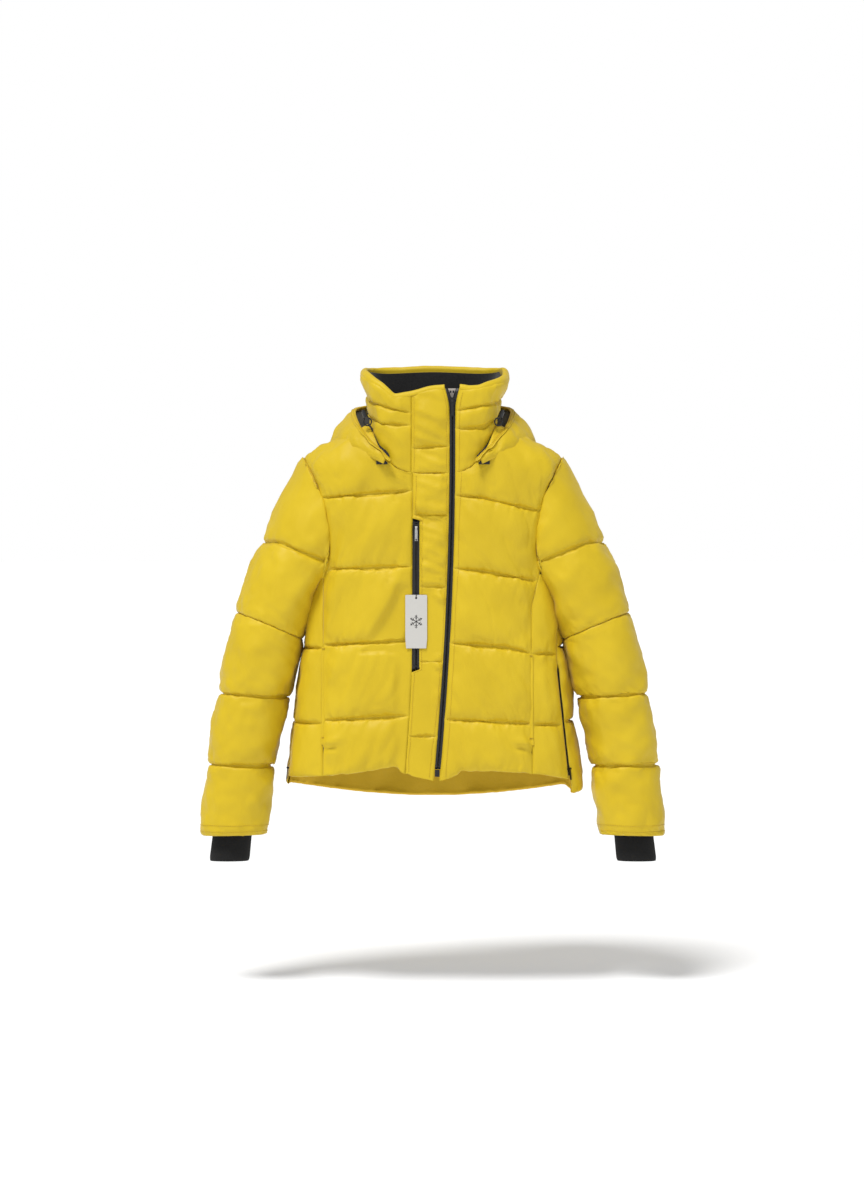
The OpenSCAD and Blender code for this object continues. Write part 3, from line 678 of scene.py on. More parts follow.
# Soft folds: the direction that they run in, their length, width and depth in mm.
FOLDS = {
    "right_front": [((0.55, 0, 0.8), 150, 34, 2.8), ((0.35, 0, 1), 90, 15, 1.5)],
    "left_front": [((-0.5, 0, 0.8), 150, 34, 2.8), ((-0.6, 0, 1), 90, 15, 1.5)],
    "placket": [((1, 0, -0.38), 90, 10, 2.6), ((1, 0, 0.1), 60, 22, 2.0)],
    "collar_placket": [((1, 0, -0.45), 80, 11, 2.4), ((1, 0, 0.2), 60, 26, 1.8)],
    "collar": [((1, 0.4, 0.25), 80, 17, 1.5), ((0.7, 0, -0.7), 60, 12, 0.9)],
    "right_side": [((0.3, 0, 1), 60, 16, 1.2)],
    "left_side": [((-0.3, 0, 1), 60, 16, 1.2)],
    "back_panel": [((0.3, 0, 1), 170, 42, 3.0), ((1, 0, 0.5), 80, 17, 1.4)],
    "sleeve": [((0.55, 0.5, 0.65), 130, 30, 2.4), ((0.6, 0.7, -0.5), 80, 14, 1.2)],
    "hood": [((0.6, 0.6, -0.5), 90, 22, 1.2), ((0.3, 0.5, 0.8), 50, 11, 0.6)],
}
CREASE = 3.4                                  # how far a quilt line sinks into the padding
PUCKER = 1.0                                  # height of the small gathers beside it
THIN = {"collar": 0.6, "collar_placket": 0.6, "hood": 0.4, "placket": 0.8}


def fold_depth(p, direction, length, width, seed):
    """Folds of a given size that run in one direction, about -1 to 1, with narrow creases between them."""
    d = np.array(direction) / np.linalg.norm(direction)
    along = p @ d
    q = (p - along[..., None] * d) / width + (along / length)[..., None] * d + seed
    n = np.array([noise.noise(Vector(v)) for v in q.reshape(-1, 3)]).reshape(p.shape[:2])
    return n - 0.28 * np.clip(1 - np.abs(n) / 0.1, 0, 1) ** 2


def relief(name, s, p, sewn):
    """Quilt creases with their puckers, seams and folds, in mm along the cloth's normal."""
    run, drop = travel(p, 1), travel(p, 0)
    out = np.zeros(p.shape[:2])
    key = "sleeve" if "sleeve" in name else "hood" if "hood" in name else name
    thin = THIN.get(key, 1.0)
    for k in sewn:
        away = np.abs(drop - drop[k])
        to_end = np.minimum(drop[k], drop[-1] - drop[k])
        deep = smooth(to_end / 40) * (0.8 + 0.35 * noise.noise(Vector((k * 1.3, len(name), 0))))
        out -= CREASE * thin * deep * (np.exp(-away / 1.8) + 0.4 * np.exp(-away / 10))
    for k in sewn + [len(p) - 1]:
        away = np.abs(drop - drop[k])
        gather = 0.0
        for wave, size in ((8.3, 0.5), (12.9, 0.8), (21.7, 0.7), (37.0, 0.5)):
            lean = RNG.uniform(-0.5, 0.5)
            gather = gather + size * np.cos((run + lean * away) * 2 * np.pi / wave + RNG.uniform(0, 6.3))
        out += PUCKER * thin * gather * np.exp(-away / 10) * (0.2 + 0.8 * (1 - np.exp(-away / 3)))
    rim = np.minimum(drop, drop[-1:] - drop)
    hold = 1 - np.exp(-(rim / 9) ** 2)
    for k, fold in enumerate(FOLDS[key]):
        out += fold[3] * 1.6 * hold * fold_depth(p, *fold[:3], seed=3.7 * k + len(name))
    if not s["closed"]:
        from_edge = np.minimum(run, run[:, -1:] - run)
        out *= 1 - np.exp(-(from_edge / 6) ** 1.5)
    return out


# Pleats in the hem: x, lean, width and depth in mm.
PLEATS = [(-64, 0.10, 6.0, 9.0), (-74, -0.35, 7.0, 2.5), (-45, 0.45, 6.0, 2.5), (49, -0.20, 6.0, 7.5),
          (38, -0.50, 6.0, 2.5), (64, 0.40, 8.0, 2.5), (150, -0.30, 7.0, 2.2), (-150, 0.35, 7.0, 2.2)]


def pleats(p):
    above = p[..., 2] - HEM_Z
    out = np.zeros(p.shape[:2])
    for x, lean, width, depth in PLEATS:
        across = (p[..., 0] - x - lean * above) / (width + 0.12 * above)
        out -= depth * np.exp(-across ** 2) * np.exp(-above / 38)
    return out


TUCKS = [(-163, -527, 0.25), (145, -529, -0.25)]


def tucks(p):
    """Short creases at the bottom ends of the hand pockets, with a small roll of cloth above each one."""
    out = np.zeros(p.shape[:2])
    for x, z, lean in TUCKS:
        across = p[..., 2] - z - lean * (p[..., 0] - x)
        along = np.exp(-((p[..., 0] - x) / 14) ** 2)
        out += along * (3.5 * np.exp(-((across - 9) / 6) ** 2) - 5.5 * np.exp(-(across / 3.2) ** 2))
    return out


TAG_LO, TAG_HI = corners("swing_tag")


def under_tag(p):
    """The cloth lies flat behind the swing tag, where it swings and where it slides down with the zip."""
    x, z = p[..., 0], p[..., 2]
    half = (TAG_HI[0] - TAG_LO[0]) / 2 + 5
    half = half + np.where(z > TAG_LO[2] - 8, 0.62 * np.clip(TAG_HI[2] - z, 0, None), 0)
    beside = np.clip(np.abs(x - CHEST_X) - half, 0, None)
    above = np.clip(z - TAG_HI[2] - 5, 0, None)
    share_flat = 1 - smooth(np.hypot(beside, above) / 18)
    flat = TAG_HI[1] + 1.5
    out = p.copy()
    out[..., 1] = np.where(p[..., 1] < flat, mix(p[..., 1], flat, share_flat), p[..., 1])
    return out


def finish_cloth(name, s):
    """A sheet's final points, at twice the simulation's resolution."""
    p = twice(settle(s), False)
    p = twice(p.swapaxes(0, 1), s["closed"]).swapaxes(0, 1)
    sewn = [2 * k for k in s["rows"]]
    normal = outward(p, s["closed"])
    move = relief(name, s, p, sewn)
    if name in ("right_front", "left_front", "placket"):
        move += pleats(p) + tucks(p)
    edge_hold = np.ones(p.shape[:2])
    edge_hold[0] = edge_hold[-1] = 0
    if name in ("right_front", "left_front", "placket", "back_panel"):
        edge_hold[-1] = 1
    p = p + normal * (move * edge_hold)[..., None]
    return under_tag(p) if name in ("right_front", "placket") else p


simulate(SHEETS)


# ---------------------------------------------------------------- materials
def linear(*rgb):
    """An sRGB colour, 0 to 255, as the linear values that a shader takes."""
    return tuple((c / 255 / 12.92) if c <= 10 else ((c / 255 + 0.055) / 1.055) ** 2.4 for c in rgb) + (1.0,)


class Shader:
    """A small helper round one material's nodes."""

    def __init__(self, name, colour, roughness, **sockets):
        self.mat = bpy.data.materials.new(name)
        self.mat.use_nodes = True
        self.tree = self.mat.node_tree
        self.bsdf = self.tree.nodes["Principled BSDF"]
        self.bsdf.inputs["Base Color"].default_value = colour
        self.bsdf.inputs["Roughness"].default_value = roughness
        for key, value in sockets.items():
            self.bsdf.inputs[key.replace("_", " ")].default_value = value
        self.height = None

    def node(self, kind, **props):
        n = self.tree.nodes.new(kind)
        for key, value in props.items():
            if key in n.inputs:
                n.inputs[key].default_value = value
            else:
                setattr(n, key, value)
        return n

    def link(self, a, b):
        self.tree.links.new(a, b)

    def coords(self, kind="UV", scale=(1, 1, 1), turn=0.0):
        tex = self.node("ShaderNodeTexCoord")
        m = self.node("ShaderNodeMapping")
        m.inputs["Scale"].default_value = scale
        m.inputs["Rotation"].default_value = (0, 0, turn)
        self.link(tex.outputs[kind], m.inputs["Vector"])
        return m.outputs["Vector"]

    def noise(self, vector, scale, detail=3.0, rough=0.5):
        n = self.node("ShaderNodeTexNoise", Scale=scale, Detail=detail, Roughness=rough)
        self.link(vector, n.inputs["Vector"])
        return n.outputs["Fac"]

    def wave(self, vector, scale, direction="X", distortion=0.0):
        n = self.node("ShaderNodeTexWave", Scale=scale, Distortion=distortion, bands_direction=direction)
        self.link(vector, n.inputs["Vector"])
        return n.outputs["Fac"]

    def math(self, op, a, b):
        n = self.node("ShaderNodeMath", operation=op)
        for k, v in enumerate((a, b)):
            if isinstance(v, (int, float)):
                n.inputs[k].default_value = v
            else:
                self.link(v, n.inputs[k])
        return n.outputs[0]

    def tint(self, factor, dark, light, low=0.3, high=0.7):
        """Base colour between two colours, by a factor."""
        ramp = self.node("ShaderNodeValToRGB")
        ramp.color_ramp.elements[0].position, ramp.color_ramp.elements[1].position = low, high
        ramp.color_ramp.elements[0].color, ramp.color_ramp.elements[1].color = dark, light
        self.link(factor, ramp.inputs["Fac"])
        self.link(ramp.outputs["Color"], self.bsdf.inputs["Base Color"])

    def rough(self, factor, low, high):
        m = self.node("ShaderNodeMapRange")
        m.inputs["To Min"].default_value, m.inputs["To Max"].default_value = low, high
        self.link(factor, m.inputs["Value"])
        self.link(m.outputs["Result"], self.bsdf.inputs["Roughness"])

    def bump(self, height, distance, strength=1.0):
        """Adds a bump, on top of an earlier one if there is one."""
        b = self.node("ShaderNodeBump", Strength=strength, Distance=distance)
        self.link(height, b.inputs["Height"])
        if self.height is not None:
            self.link(self.height, b.inputs["Normal"])
        self.height = b.outputs["Normal"]
        self.link(self.height, self.bsdf.inputs["Normal"])


def weave(shader, scale, distance):
    """Plain weave: warp and weft crossing, with a little slub in the yarns."""
    uv = shader.coords("UV")
    warp = shader.wave(uv, scale, "X")
    weft = shader.wave(uv, scale, "Y")
    slub = shader.noise(shader.coords("UV", (6, 90, 1)), 40, 2)
    cloth = shader.math("MULTIPLY", warp, weft)
    shader.bump(shader.math("ADD", cloth, shader.math("MULTIPLY", slub, 0.5)), distance, 0.5)


def make_shell():
    """A matt woven nylon with a faint sheen, a fine weave and small creases from wear."""
    s = Shader("outer_fabric", linear(206, 176, 20), 0.52, Sheen_Weight=0.1, Sheen_Roughness=0.4)
    s.bsdf.inputs["Specular IOR Level"].default_value = 0.35
    cloudy = s.noise(s.coords("Object", (1, 1, 1)), 14, 3, 0.5)
    s.tint(cloudy, linear(202, 172, 18), linear(211, 181, 24), 0.3, 0.7)
    s.rough(s.noise(s.coords("Object"), 60, 3), 0.48, 0.62)
    creases = s.noise(s.coords("UV", (16, 9, 1), 0.5), 2.2, 4, 0.55)
    s.bump(creases, 0.0012, 0.35)
    weave(s, 260, 0.0001)
    return s.mat


def make_lining():
    s = Shader("lining_fabric", linear(24, 24, 25), 0.9, Sheen_Weight=0.15, Sheen_Roughness=0.5)
    fuzz = s.noise(s.coords("Object"), 420, 4, 0.7)
    s.tint(fuzz, linear(14, 14, 15), linear(36, 35, 35), 0.35, 0.75)
    s.bump(fuzz, 0.0006, 0.8)
    return s.mat


def make_rib():
    s = Shader("rib_knit", linear(6, 6, 6), 0.9, Sheen_Weight=0.05, Sheen_Roughness=0.4)
    uv = s.coords("UV")
    stitch = s.wave(uv, 130, "Y", 1.0)
    s.bump(stitch, 0.0003, 0.6)
    fuzz = s.noise(s.coords("Object"), 500, 3)
    s.tint(fuzz, linear(3, 3, 3), linear(9, 9, 9))
    return s.mat


def make_tape():
    s = Shader("zip_tape", linear(26, 27, 29), 0.38)
    uv = s.noise(s.coords("Object"), 90, 3)
    s.rough(uv, 0.3, 0.5)
    s.bump(s.wave(s.coords("UV"), 420, "Y"), 0.0001, 0.4)
    return s.mat


def make_plain(name, colour, roughness, metallic=0.0, grain=220.0, depth=0.0002, **extra):
    s = Shader(name, colour, roughness, **extra)
    s.bsdf.inputs["Metallic"].default_value = metallic
    n = s.noise(s.coords("Object"), grain, 3)
    s.rough(n, roughness * 0.8, min(1, roughness * 1.2))
    s.bump(n, depth, 0.5)
    return s.mat


SHELL = make_shell()
LINING = make_lining()
RIB = make_rib()
TAPE = make_tape()
# the hem facing: the shell's yellow painted lighter, painted light that lifts the shade inside the tail
FACING_PAINTED_LIGHT = make_plain("facing_painted_light", linear(224, 182, 32), 0.72, grain=160, depth=0.0006)
THREAD = make_plain("thread", linear(196, 163, 30), 0.6, grain=900, depth=0.0001)
HARDWARE = make_plain("black_hardware", linear(18, 18, 19), 0.33)
SILVER = make_plain("silver_hardware", linear(196, 196, 194), 0.28, 1.0, 300, 0.0001)
CORD = make_plain("black_cord", linear(20, 20, 20), 0.75, grain=700, depth=0.0004)
CARD = make_plain("white_card", linear(196, 194, 189), 0.55, grain=260, depth=0.0001)
PRINT = make_plain("card_print", linear(34, 34, 36), 0.55, grain=260, depth=0.0001)
FLAP_FABRIC = make_plain("chin_guard_fabric", linear(164, 156, 148), 0.9, grain=700, depth=0.0004)


# ---------------------------------------------------------------- meshes
def spans(p, closed):
    """UV in metres along a grid's columns and rows."""
    q = np.concatenate([p, p[:, :1]], 1) if closed else p
    u = np.concatenate([[0], np.cumsum(np.linalg.norm(np.diff(q, axis=1), axis=-1).mean(0))]) * MM
    v = np.concatenate([[0], np.cumsum(np.linalg.norm(np.diff(p, axis=0), axis=-1).mean(1))]) * MM
    return u, v


def grid_object(name, p, closed, material, more=(), thickness=1.2, levels=0):
    """A cloth object from a grid of points in mm, with UVs along the cloth, subdivided when levels is above
    0.
    """
    n, m = p.shape[:2]
    mesh = bpy.data.meshes.new(name)
    mesh.from_pydata([tuple(v) for v in (p * MM).reshape(-1, 3)], [], faces_of(n, m, closed))
    u, v = spans(p, closed)
    uv = mesh.uv_layers.new(name="cloth")
    cols = m if closed else m - 1
    loops = []
    for j in range(n - 1):
        for i in range(cols):
            loops += [(u[i], v[j]), (u[i], v[j + 1]), (u[i + 1], v[j + 1]), (u[i + 1], v[j])]
    uv.data.foreach_set("uv", np.array(loops).reshape(-1))
    for mat in (material,) + tuple(more):
        mesh.materials.append(mat)
    mesh.polygons.foreach_set("use_smooth", [True] * len(mesh.polygons))
    obj = bpy.data.objects.new(name, mesh)
    SCENE.collection.objects.link(obj)
    if thickness:
        solid = obj.modifiers.new("Thickness", "SOLIDIFY")
        solid.thickness = thickness * MM
        solid.offset = -1
        if more:
            solid.material_offset = 1
    if levels:
        sub = obj.modifiers.new("Smooth", "SUBSURF")
        sub.levels = sub.render_levels = levels
    return obj


def tube(points, radius, sides=8):
    """Vertices and faces of a capped tube along points in mm."""
    p = np.asarray(points, float)
    tang = np.gradient(p, axis=0)
    tang /= np.linalg.norm(tang, axis=1, keepdims=True)
    ref = np.array([0, 0, 1.0]) if abs(tang[0][2]) < 0.9 else np.array([0, 1.0, 0])
    verts, side = [], None
    for k in range(len(p)):
        side = np.cross(tang[k], ref if side is None else np.cross(side, tang[k]))
        side /= np.linalg.norm(side)
        up = np.cross(side, tang[k])
        for a in np.linspace(0, 2 * np.pi, sides, endpoint=False):
            verts.append(p[k] + radius * (np.cos(a) * side + np.sin(a) * up))
    faces = []
    for k in range(len(p) - 1):
        for i in range(sides):
            j = (i + 1) % sides
            faces.append((k * sides + i, k * sides + j, (k + 1) * sides + j, (k + 1) * sides + i))
    faces.append(tuple(range(sides))[::-1])
    faces.append(tuple((len(p) - 1) * sides + i for i in range(sides)))
    return verts, faces


def merged(name, parts, material):
    """One object from (vertices, faces) parts in mm."""
    verts, faces = [], []
    for v, f in parts:
        start = len(verts)
        verts += [tuple(np.asarray(q) * MM) for q in v]
        faces += [tuple(i + start for i in face) for face in f]
    mesh = bpy.data.meshes.new(name)
    mesh.from_pydata(verts, [], faces)
    mesh.materials.append(material)
    mesh.polygons.foreach_set("use_smooth", [True] * len(faces))
    mesh.update()
    obj = bpy.data.objects.new(name, mesh)
    SCENE.collection.objects.link(obj)
    return obj


def piece(obj, body, slot, *nodes):
    """The calls that every piece needs: its body and the CAD nodes that it stands for. The slot argument is
    not used.
    """
    if body:
        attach(obj, body)
    if nodes:
        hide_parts(*nodes)
    return obj


THREAD_R = 0.33


def stitches(path, lift, normals, length=2.6, pitch=3.6):
    """A row of short thread stitches that lie on the cloth along a path."""
    d = run_of(path)
    parts = []

    def at(v, table):
        return np.array([np.interp(v, d, table[:, k]) for k in range(3)])

    for start in np.arange(1.0, d[-1] - length, pitch):
        pts = []
        for f, h in ((0, -0.4), (0.25, 0.15), (0.5, 0.3), (0.75, 0.15), (1, -0.4)):
            v = start + f * length
            n = at(v, normals)
            pts.append(at(v, path) + n * (lift + h))
        parts.append(tube(pts, THREAD_R, 5))
    return parts


FINAL = {name: finish_cloth(name, s) for name, s in SHEETS.items()}
NORMAL = {name: outward(FINAL[name], SHEETS[name]["closed"]) for name in SHEETS}

PANELS = {
    "right_front": ("right_front_shell", "right_front_padding"),
    "placket": ("placket_shell", "placket_padding"),
    "left_front": ("left_front_shell", "left_front_padding"), "right_side": ("right_side_shell",),
    "left_side": ("left_side_shell",), "back_panel": ("back_shell", "back_padding"),
    "collar": ("collar_shell", "collar_padding"), "collar_placket": (),
}
for name, nodes in PANELS.items():
    obj = grid_object(name, FINAL[name], False, SHELL)
    piece(obj, "root", "outer_fabric", *nodes)

for name, side in SIDES:
    upper = grid_object(name + "_upper_sleeve_cloth", FINAL[name + "_upper_sleeve_cloth"], True, SHELL)
    lower = grid_object(name + "_lower_sleeve_cloth", FINAL[name + "_lower_sleeve_cloth"], True, SHELL)
    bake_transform(upper)
    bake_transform(lower)
    piece(upper, None, "outer_fabric", name + "_sleeve_cap", name + "_upper_sleeve", name + "_upper_lining")
    piece(lower, None, "outer_fabric", name + "_elbow_baffle", name + "_lower_sleeve", name + "_lower_lining")

# ---------------------------------------------------------------- hood
HOOD_NODES = ("hood_right_wing", "hood_left_wing", "hood_pouch", "hood_pouch_lining", "hood_wing_lining")


def lifts_with_hood(obj):
    """Bakes a hood piece's transform into its mesh."""
    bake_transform(obj)


hood_cloth = grid_object("hood_cloth", FINAL["hood"], False, SHELL, (LINING,), thickness=3.2)
lifts_with_hood(hood_cloth)
piece(hood_cloth, None, "outer_fabric", *HOOD_NODES)


def hood_inner_wall():
    """The hood's lining, from its rim in to the foot of the collar."""
    rim = FINAL["hood"][1] - NORMAL["hood"][1] * 3
    a = np.linspace(0, 360, 721)
    foot = collar_pt(a, np.full_like(a, 0.85))
    inner = np.array([foot[np.argmin(np.linalg.norm(foot[:, :2] - q[:2], axis=1))] for q in rim])
    rows = [mix(rim, inner, f) - np.array([0, 0, 4.0]) * np.sin(np.pi * f) for f in np.linspace(0, 1, 7)]
    return np.array(rows)[:, ::-1]


hood_wall = grid_object("hood_inner_wall", hood_inner_wall(), False, LINING, thickness=0.8)
lifts_with_hood(hood_wall)
piece(hood_wall, None, "lining_fabric")


# ---------------------------------------------------------------- zips
STRIP_COLS = 4


def strip(name, left, right, y, z0, z1, material, thickness, rows=90, bulge=0.0):
    """An upright strip of tape between two lines given over height, facing -Y."""
    z = np.linspace(z0, z1, rows)
    s = np.linspace(0, 1, STRIP_COLS)
    x = np.array([mix(left(v), right(v), s) for v in z])
    depth = np.full_like(x, y) - bulge * np.sin(np.pi * s)[None, :]
    p = np.stack([x, depth, np.repeat(z[:, None], STRIP_COLS, 1)], -1)
    return grid_object(name, p, False, material, thickness=thickness)


TAPE_Y = -FRONT + 2.6                         # the tapes lie just under the cloth's edges
TAPE_W = 9.0
ZIP_TOP = edge("main_zip_tapes", 1, 2)
ZIP_BOTTOM = edge("main_zip_tapes", 0, 2)


def parting(z):
    """How far each half of the main zip is from the middle: the two part above the slider."""
    return 0.25 + 8.5 * np.clip((z - 30) / 26, 0, 1) ** 1.2


for name, side in SIDES:
    lo = (lambda z: zip_x(z) - parting(z) - TAPE_W) if side < 0 else (lambda z: zip_x(z) + parting(z))
    hi = (lambda z: zip_x(z) - parting(z)) if side < 0 else (lambda z: zip_x(z) + parting(z) + TAPE_W)
    obj = strip(f"main_zip_{name}_tape", lo, hi, TAPE_Y, ZIP_TOP, ZIP_BOTTOM, TAPE, 0.8, bulge=0.5)
    piece(obj, "root", "zip_tape", *(("main_zip_tapes",) if side > 0 else ()))


def coil_teeth(x_of, y, z0, z1, pitch, half):
    """The coil of a zip: small loops behind each tape's edge, from z0 up to z1."""
    parts = []
    for z in np.arange(z0, z1, pitch):
        for side in (-1, 1):
            zz = z + (pitch / 2 if side > 0 else 0)
            a = x_of(zz) + side * (0.25 + parting(zz))
            b = a + side * half
            loop_path = [(a, y + 0.5, zz), (a, y, zz), (mix(a, b, 0.5), y - 0.1, zz + 0.2), (b, y, zz + 0.4),
                         (b, y + 0.5, zz + 0.4)]
            parts.append(tube(loop_path, 0.3, 5))
    return parts


teeth = coil_teeth(zip_x, TAPE_Y + 0.8, ZIP_BOTTOM + 2, ZIP_TOP - 6, 2.0, 2.0)
obj = merged("main_zip_teeth", teeth, HARDWARE)
piece(obj, "root", "black_hardware", "main_zip_coils")
flap = strip("storm_flap", lambda z: zip_x(z) - 13, lambda z: zip_x(z) + 13, -FRONT + 9, 50, ZIP_BOTTOM,
             FLAP_FABRIC, 1.6)
piece(flap, "root", "outer_fabric", "storm_flap")

CHEST_STRIP = (TAPE_Y, CHEST_TOP, CHEST_BOTTOM, TAPE, 0.8, 40, 0.4)
chest_l = strip("chest_zip_right_tape", lambda z: placket_x(z) - 3, lambda z: CHEST_X - 0.25, *CHEST_STRIP)
chest_r = strip("chest_zip_left_tape", lambda z: CHEST_X + 0.25, lambda z: CHEST_RIGHT + 3, *CHEST_STRIP)
piece(chest_l, "root", "zip_tape")
piece(chest_r, "root", "zip_tape", "chest_zip_tapes")

# ---------------------------------------------------------------- linings
def lining_sheet(name, start, end, lines, cols, depth):
    s = body_panel(start, end, lines, cols * 14, spacing=14)
    p = s["p"] - outward(s["p"], False) * depth
    return grid_object(name, p, False, LINING, thickness=1)


LINING_END = level(-545)
objs = [lining_sheet("right_front_lining",
                     lambda z: np.where(z > ARMPIT_Z, angle_at(-arm_x(z), z), right_seam_a(z)),
                     lambda z: angle_at(zip_x(z) - 16, z), [front_top, LINING_END], 20, 12),
        lining_sheet("left_front_lining", lambda z: angle_at(zip_x(z) + 16, z),
                     lambda z: np.where(z > ARMPIT_Z, angle_at(arm_x(z), z), left_seam_a(z)),
                     [front_top, LINING_END], 18, 12),
        lining_sheet("back_lining_cloth", lambda z: back_arm_a(z, left_seam_a(z)),
                     lambda z: 360 - back_arm_a(z, -right_seam_a(z)), [back_top, LINING_END], 36, 12)]
for obj, nodes in zip(objs, (("front_lining",), ("pocket_bags",), ("back_lining",))):
    piece(obj, "root", "lining_fabric", *nodes)

COLLAR_T = 9.0                                # how thick the padded collar is


def collar_inside(t0, t1, rows, depth, inset):
    """The collar's inner face between two shares of its height."""
    p, _ = collar_grid([share(t0), share(t1)], [rows], 90, True, inset, seam=False)
    return p - outward(p, False) * depth


def collar_edge():
    """The shell turned over the collar's top edge, down to where the lining is sewn on."""
    top, _ = collar_grid([share(0.0), share(0.02)], [1], 150, True, 0.0, seam=False)
    n = outward(top, False)[0]
    r = COLLAR_T / 2
    rows = [top[0] + n * 0.5 - np.array([0, 0, 3.0])]
    rows += [top[0] - n * (r - (r + 0.5) * math.cos(a)) + np.array([0, 0, r * math.sin(a)])
             for a in np.linspace(0, math.pi, 9)]
    rows += [top[0] - n * COLLAR_T - np.array([0, 0, d]) for d in (3.0, 6.0, 9.0)]
    p = np.array(rows)
    wave = fold_depth(p, (0, 0, 1), 60, 16, 5.0)
    p[..., 2] += 1.1 * wave
    return p


obj = grid_object("collar_edge", collar_edge(), False, SHELL, levels=1)
piece(obj, "root", "outer_fabric")
inner = collar_inside(0.05, 1.12, 22, COLLAR_T + 2.4, 10)
inner += outward(inner, False) * (1.4 * fold_depth(inner, (0.2, 0.3, 1), 60, 26, 9.0))[..., None]
obj = grid_object("collar_lining_cloth", inner, False, LINING, thickness=1, levels=1)
piece(obj, "root", "lining_fabric", "collar_lining")


# ---------------------------------------------------------------- cuffs
def rib_points(side):
    b = np.linspace(0, 360, 160, endpoint=False)
    out = []
    for f in np.linspace(0, 1, 12):
        z = mix(WRIST_Z + 22, edge("left_wrist_rib", 0, 2), f)
        flare = mix(0.96, 1.0, f)
        groove = 0.9 * np.abs(np.sin(np.radians(b * 40)))
        lip = -1.2 * smooth((f - 0.9) / 0.1)
        x = mix(323, 330, f) + (32 * flare + groove + lip) * np.cos(np.radians(b))
        y = -2 - (29 * flare + groove + lip) * np.sin(np.radians(b))
        out.append(np.stack([x, y, np.full_like(b, z)], -1))
    p = np.array(out)
    p[..., 0] *= side
    return p if side < 0 else p[:, ::-1]


for name, side in SIDES:
    obj = grid_object(name + "_rib_cuff", rib_points(side), True, RIB, thickness=2.2, levels=1)
    piece(obj, name + "_forearm", "rib_knit", name + "_wrist_rib")

# ---------------------------------------------------------------- edges, stitching and small pieces
def edge_band(name, rim, down, normal, profile, material):
    """A narrow band along an edge: profile is a list of (distance down the cloth, distance off it) in mm."""
    rows = [rim + down * d + normal * h for d, h in profile]
    return grid_object(name, np.array(rows), False, material, thickness=0.8, levels=1)


BINDING = ((9.0, 0.4), (8.6, 1.5), (5.0, 1.9), (1.0, 1.6), (-1.6, 0.0), (-0.8, -2.6), (2.0, -4.2),
           (7.0, -4.4))
TAB = np.array([[3.0, 0.2], [6.0, 0.8], [8.5, 2.0], [10.0, 3.6]])


def with_tabs(v, onward, down):
    """Adds the rounded tab at each front corner to a row of points, or of directions where onward is None."""
    if onward is None:
        scale = (1.0, 0.85, 0.6, 0.2)
        return np.concatenate([[v[0] * k for k in scale[::-1]], v, [v[-1] * k for k in scale]])
    ends = [[v[k] + a * onward[k] + b * down[k] for a, b in TAB] for k in (0, -1)]
    return np.concatenate([ends[0][::-1], v, ends[1]])


def unit(v):
    return v / np.linalg.norm(v, axis=-1, keepdims=True)


def hood_binding():
    """The bound edge of the hood, which runs on past each front corner as a small tab."""
    p, n = FINAL["hood"], NORMAL["hood"]
    down = unit(p[5] - p[0])
    onward = {0: unit(p[0][0] - p[0][3]), -1: unit(p[0][-1] - p[0][-4])}
    rim = with_tabs(p[0], onward, down)
    normal = np.concatenate([np.repeat(n[1][:1], 4, 0), n[1], np.repeat(n[1][-1:], 4, 0)])
    down = with_tabs(down, None, None)
    band = edge_band("hood_binding", rim, down, normal, BINDING[::-1], SHELL)
    sewn = stitches(rim + down * 2.6, 2.0, normal) + stitches(rim + down * 6.8, 2.0, normal)
    for obj in (band, merged("hood_stitches", sewn, THREAD)):
        lifts_with_hood(obj)
        piece(obj, None, "outer_fabric")


hood_binding()


def along(name, column, first=0, last=None):
    """The path and normals up one column of a sheet."""
    return FINAL[name][first:last, column], NORMAL[name][first:last, column]


SEWN = {"placket_stitches": [("placket", -3), ("placket", 3)], "left_front_stitches": [("left_front", 2)],
        "collar_stitches": [("collar", 2), ("collar_placket", -3), ("collar_placket", 2)]}
for label, columns in SEWN.items():
    parts = []
    for name, column in columns:
        path, normals = along(name, column, 4, -2)
        parts += stitches(path, 0.25, normals)
    piece(merged(label, parts, THREAD), "root", "outer_fabric")


def ring_row(name, row):
    p, n = FINAL[name][row], NORMAL[name][row]
    return np.concatenate([p, p[:1]]), np.concatenate([n, n[:1]])


for name in ("right", "left"):
    parts = []
    for row in (-7, -11):
        path, normals = ring_row(name + "_lower_sleeve_cloth", row)
        parts += stitches(path, 0.3, normals)
    piece(merged(name + "_cuff_stitches", parts, THREAD), name + "_forearm", "outer_fabric")

# the tail's hem is turned up inside the back; its facing is the shell's yellow painted lighter, painted light
# against the shade inside the tail
tail_p, tail_n = FINAL["back_panel"], NORMAL["back_panel"]
hem = [tail_p[-1] - tail_n[-1] * 0.4 + np.array([0, 0, -0.6]),
       tail_p[-1] - tail_n[-1] * 2.4 + np.array([0, 0, -1.8]),
       tail_p[-1] - tail_n[-1] * 4.4 + np.array([0, 0, 0.4])]
hem += [tail_p[-k] - tail_n[-k] * 4.6 for k in (4, 8, 14, 20)]
piece(grid_object("tail_facing", np.array(hem), False, FACING_PAINTED_LIGHT, levels=1), "root", "outer_fabric")


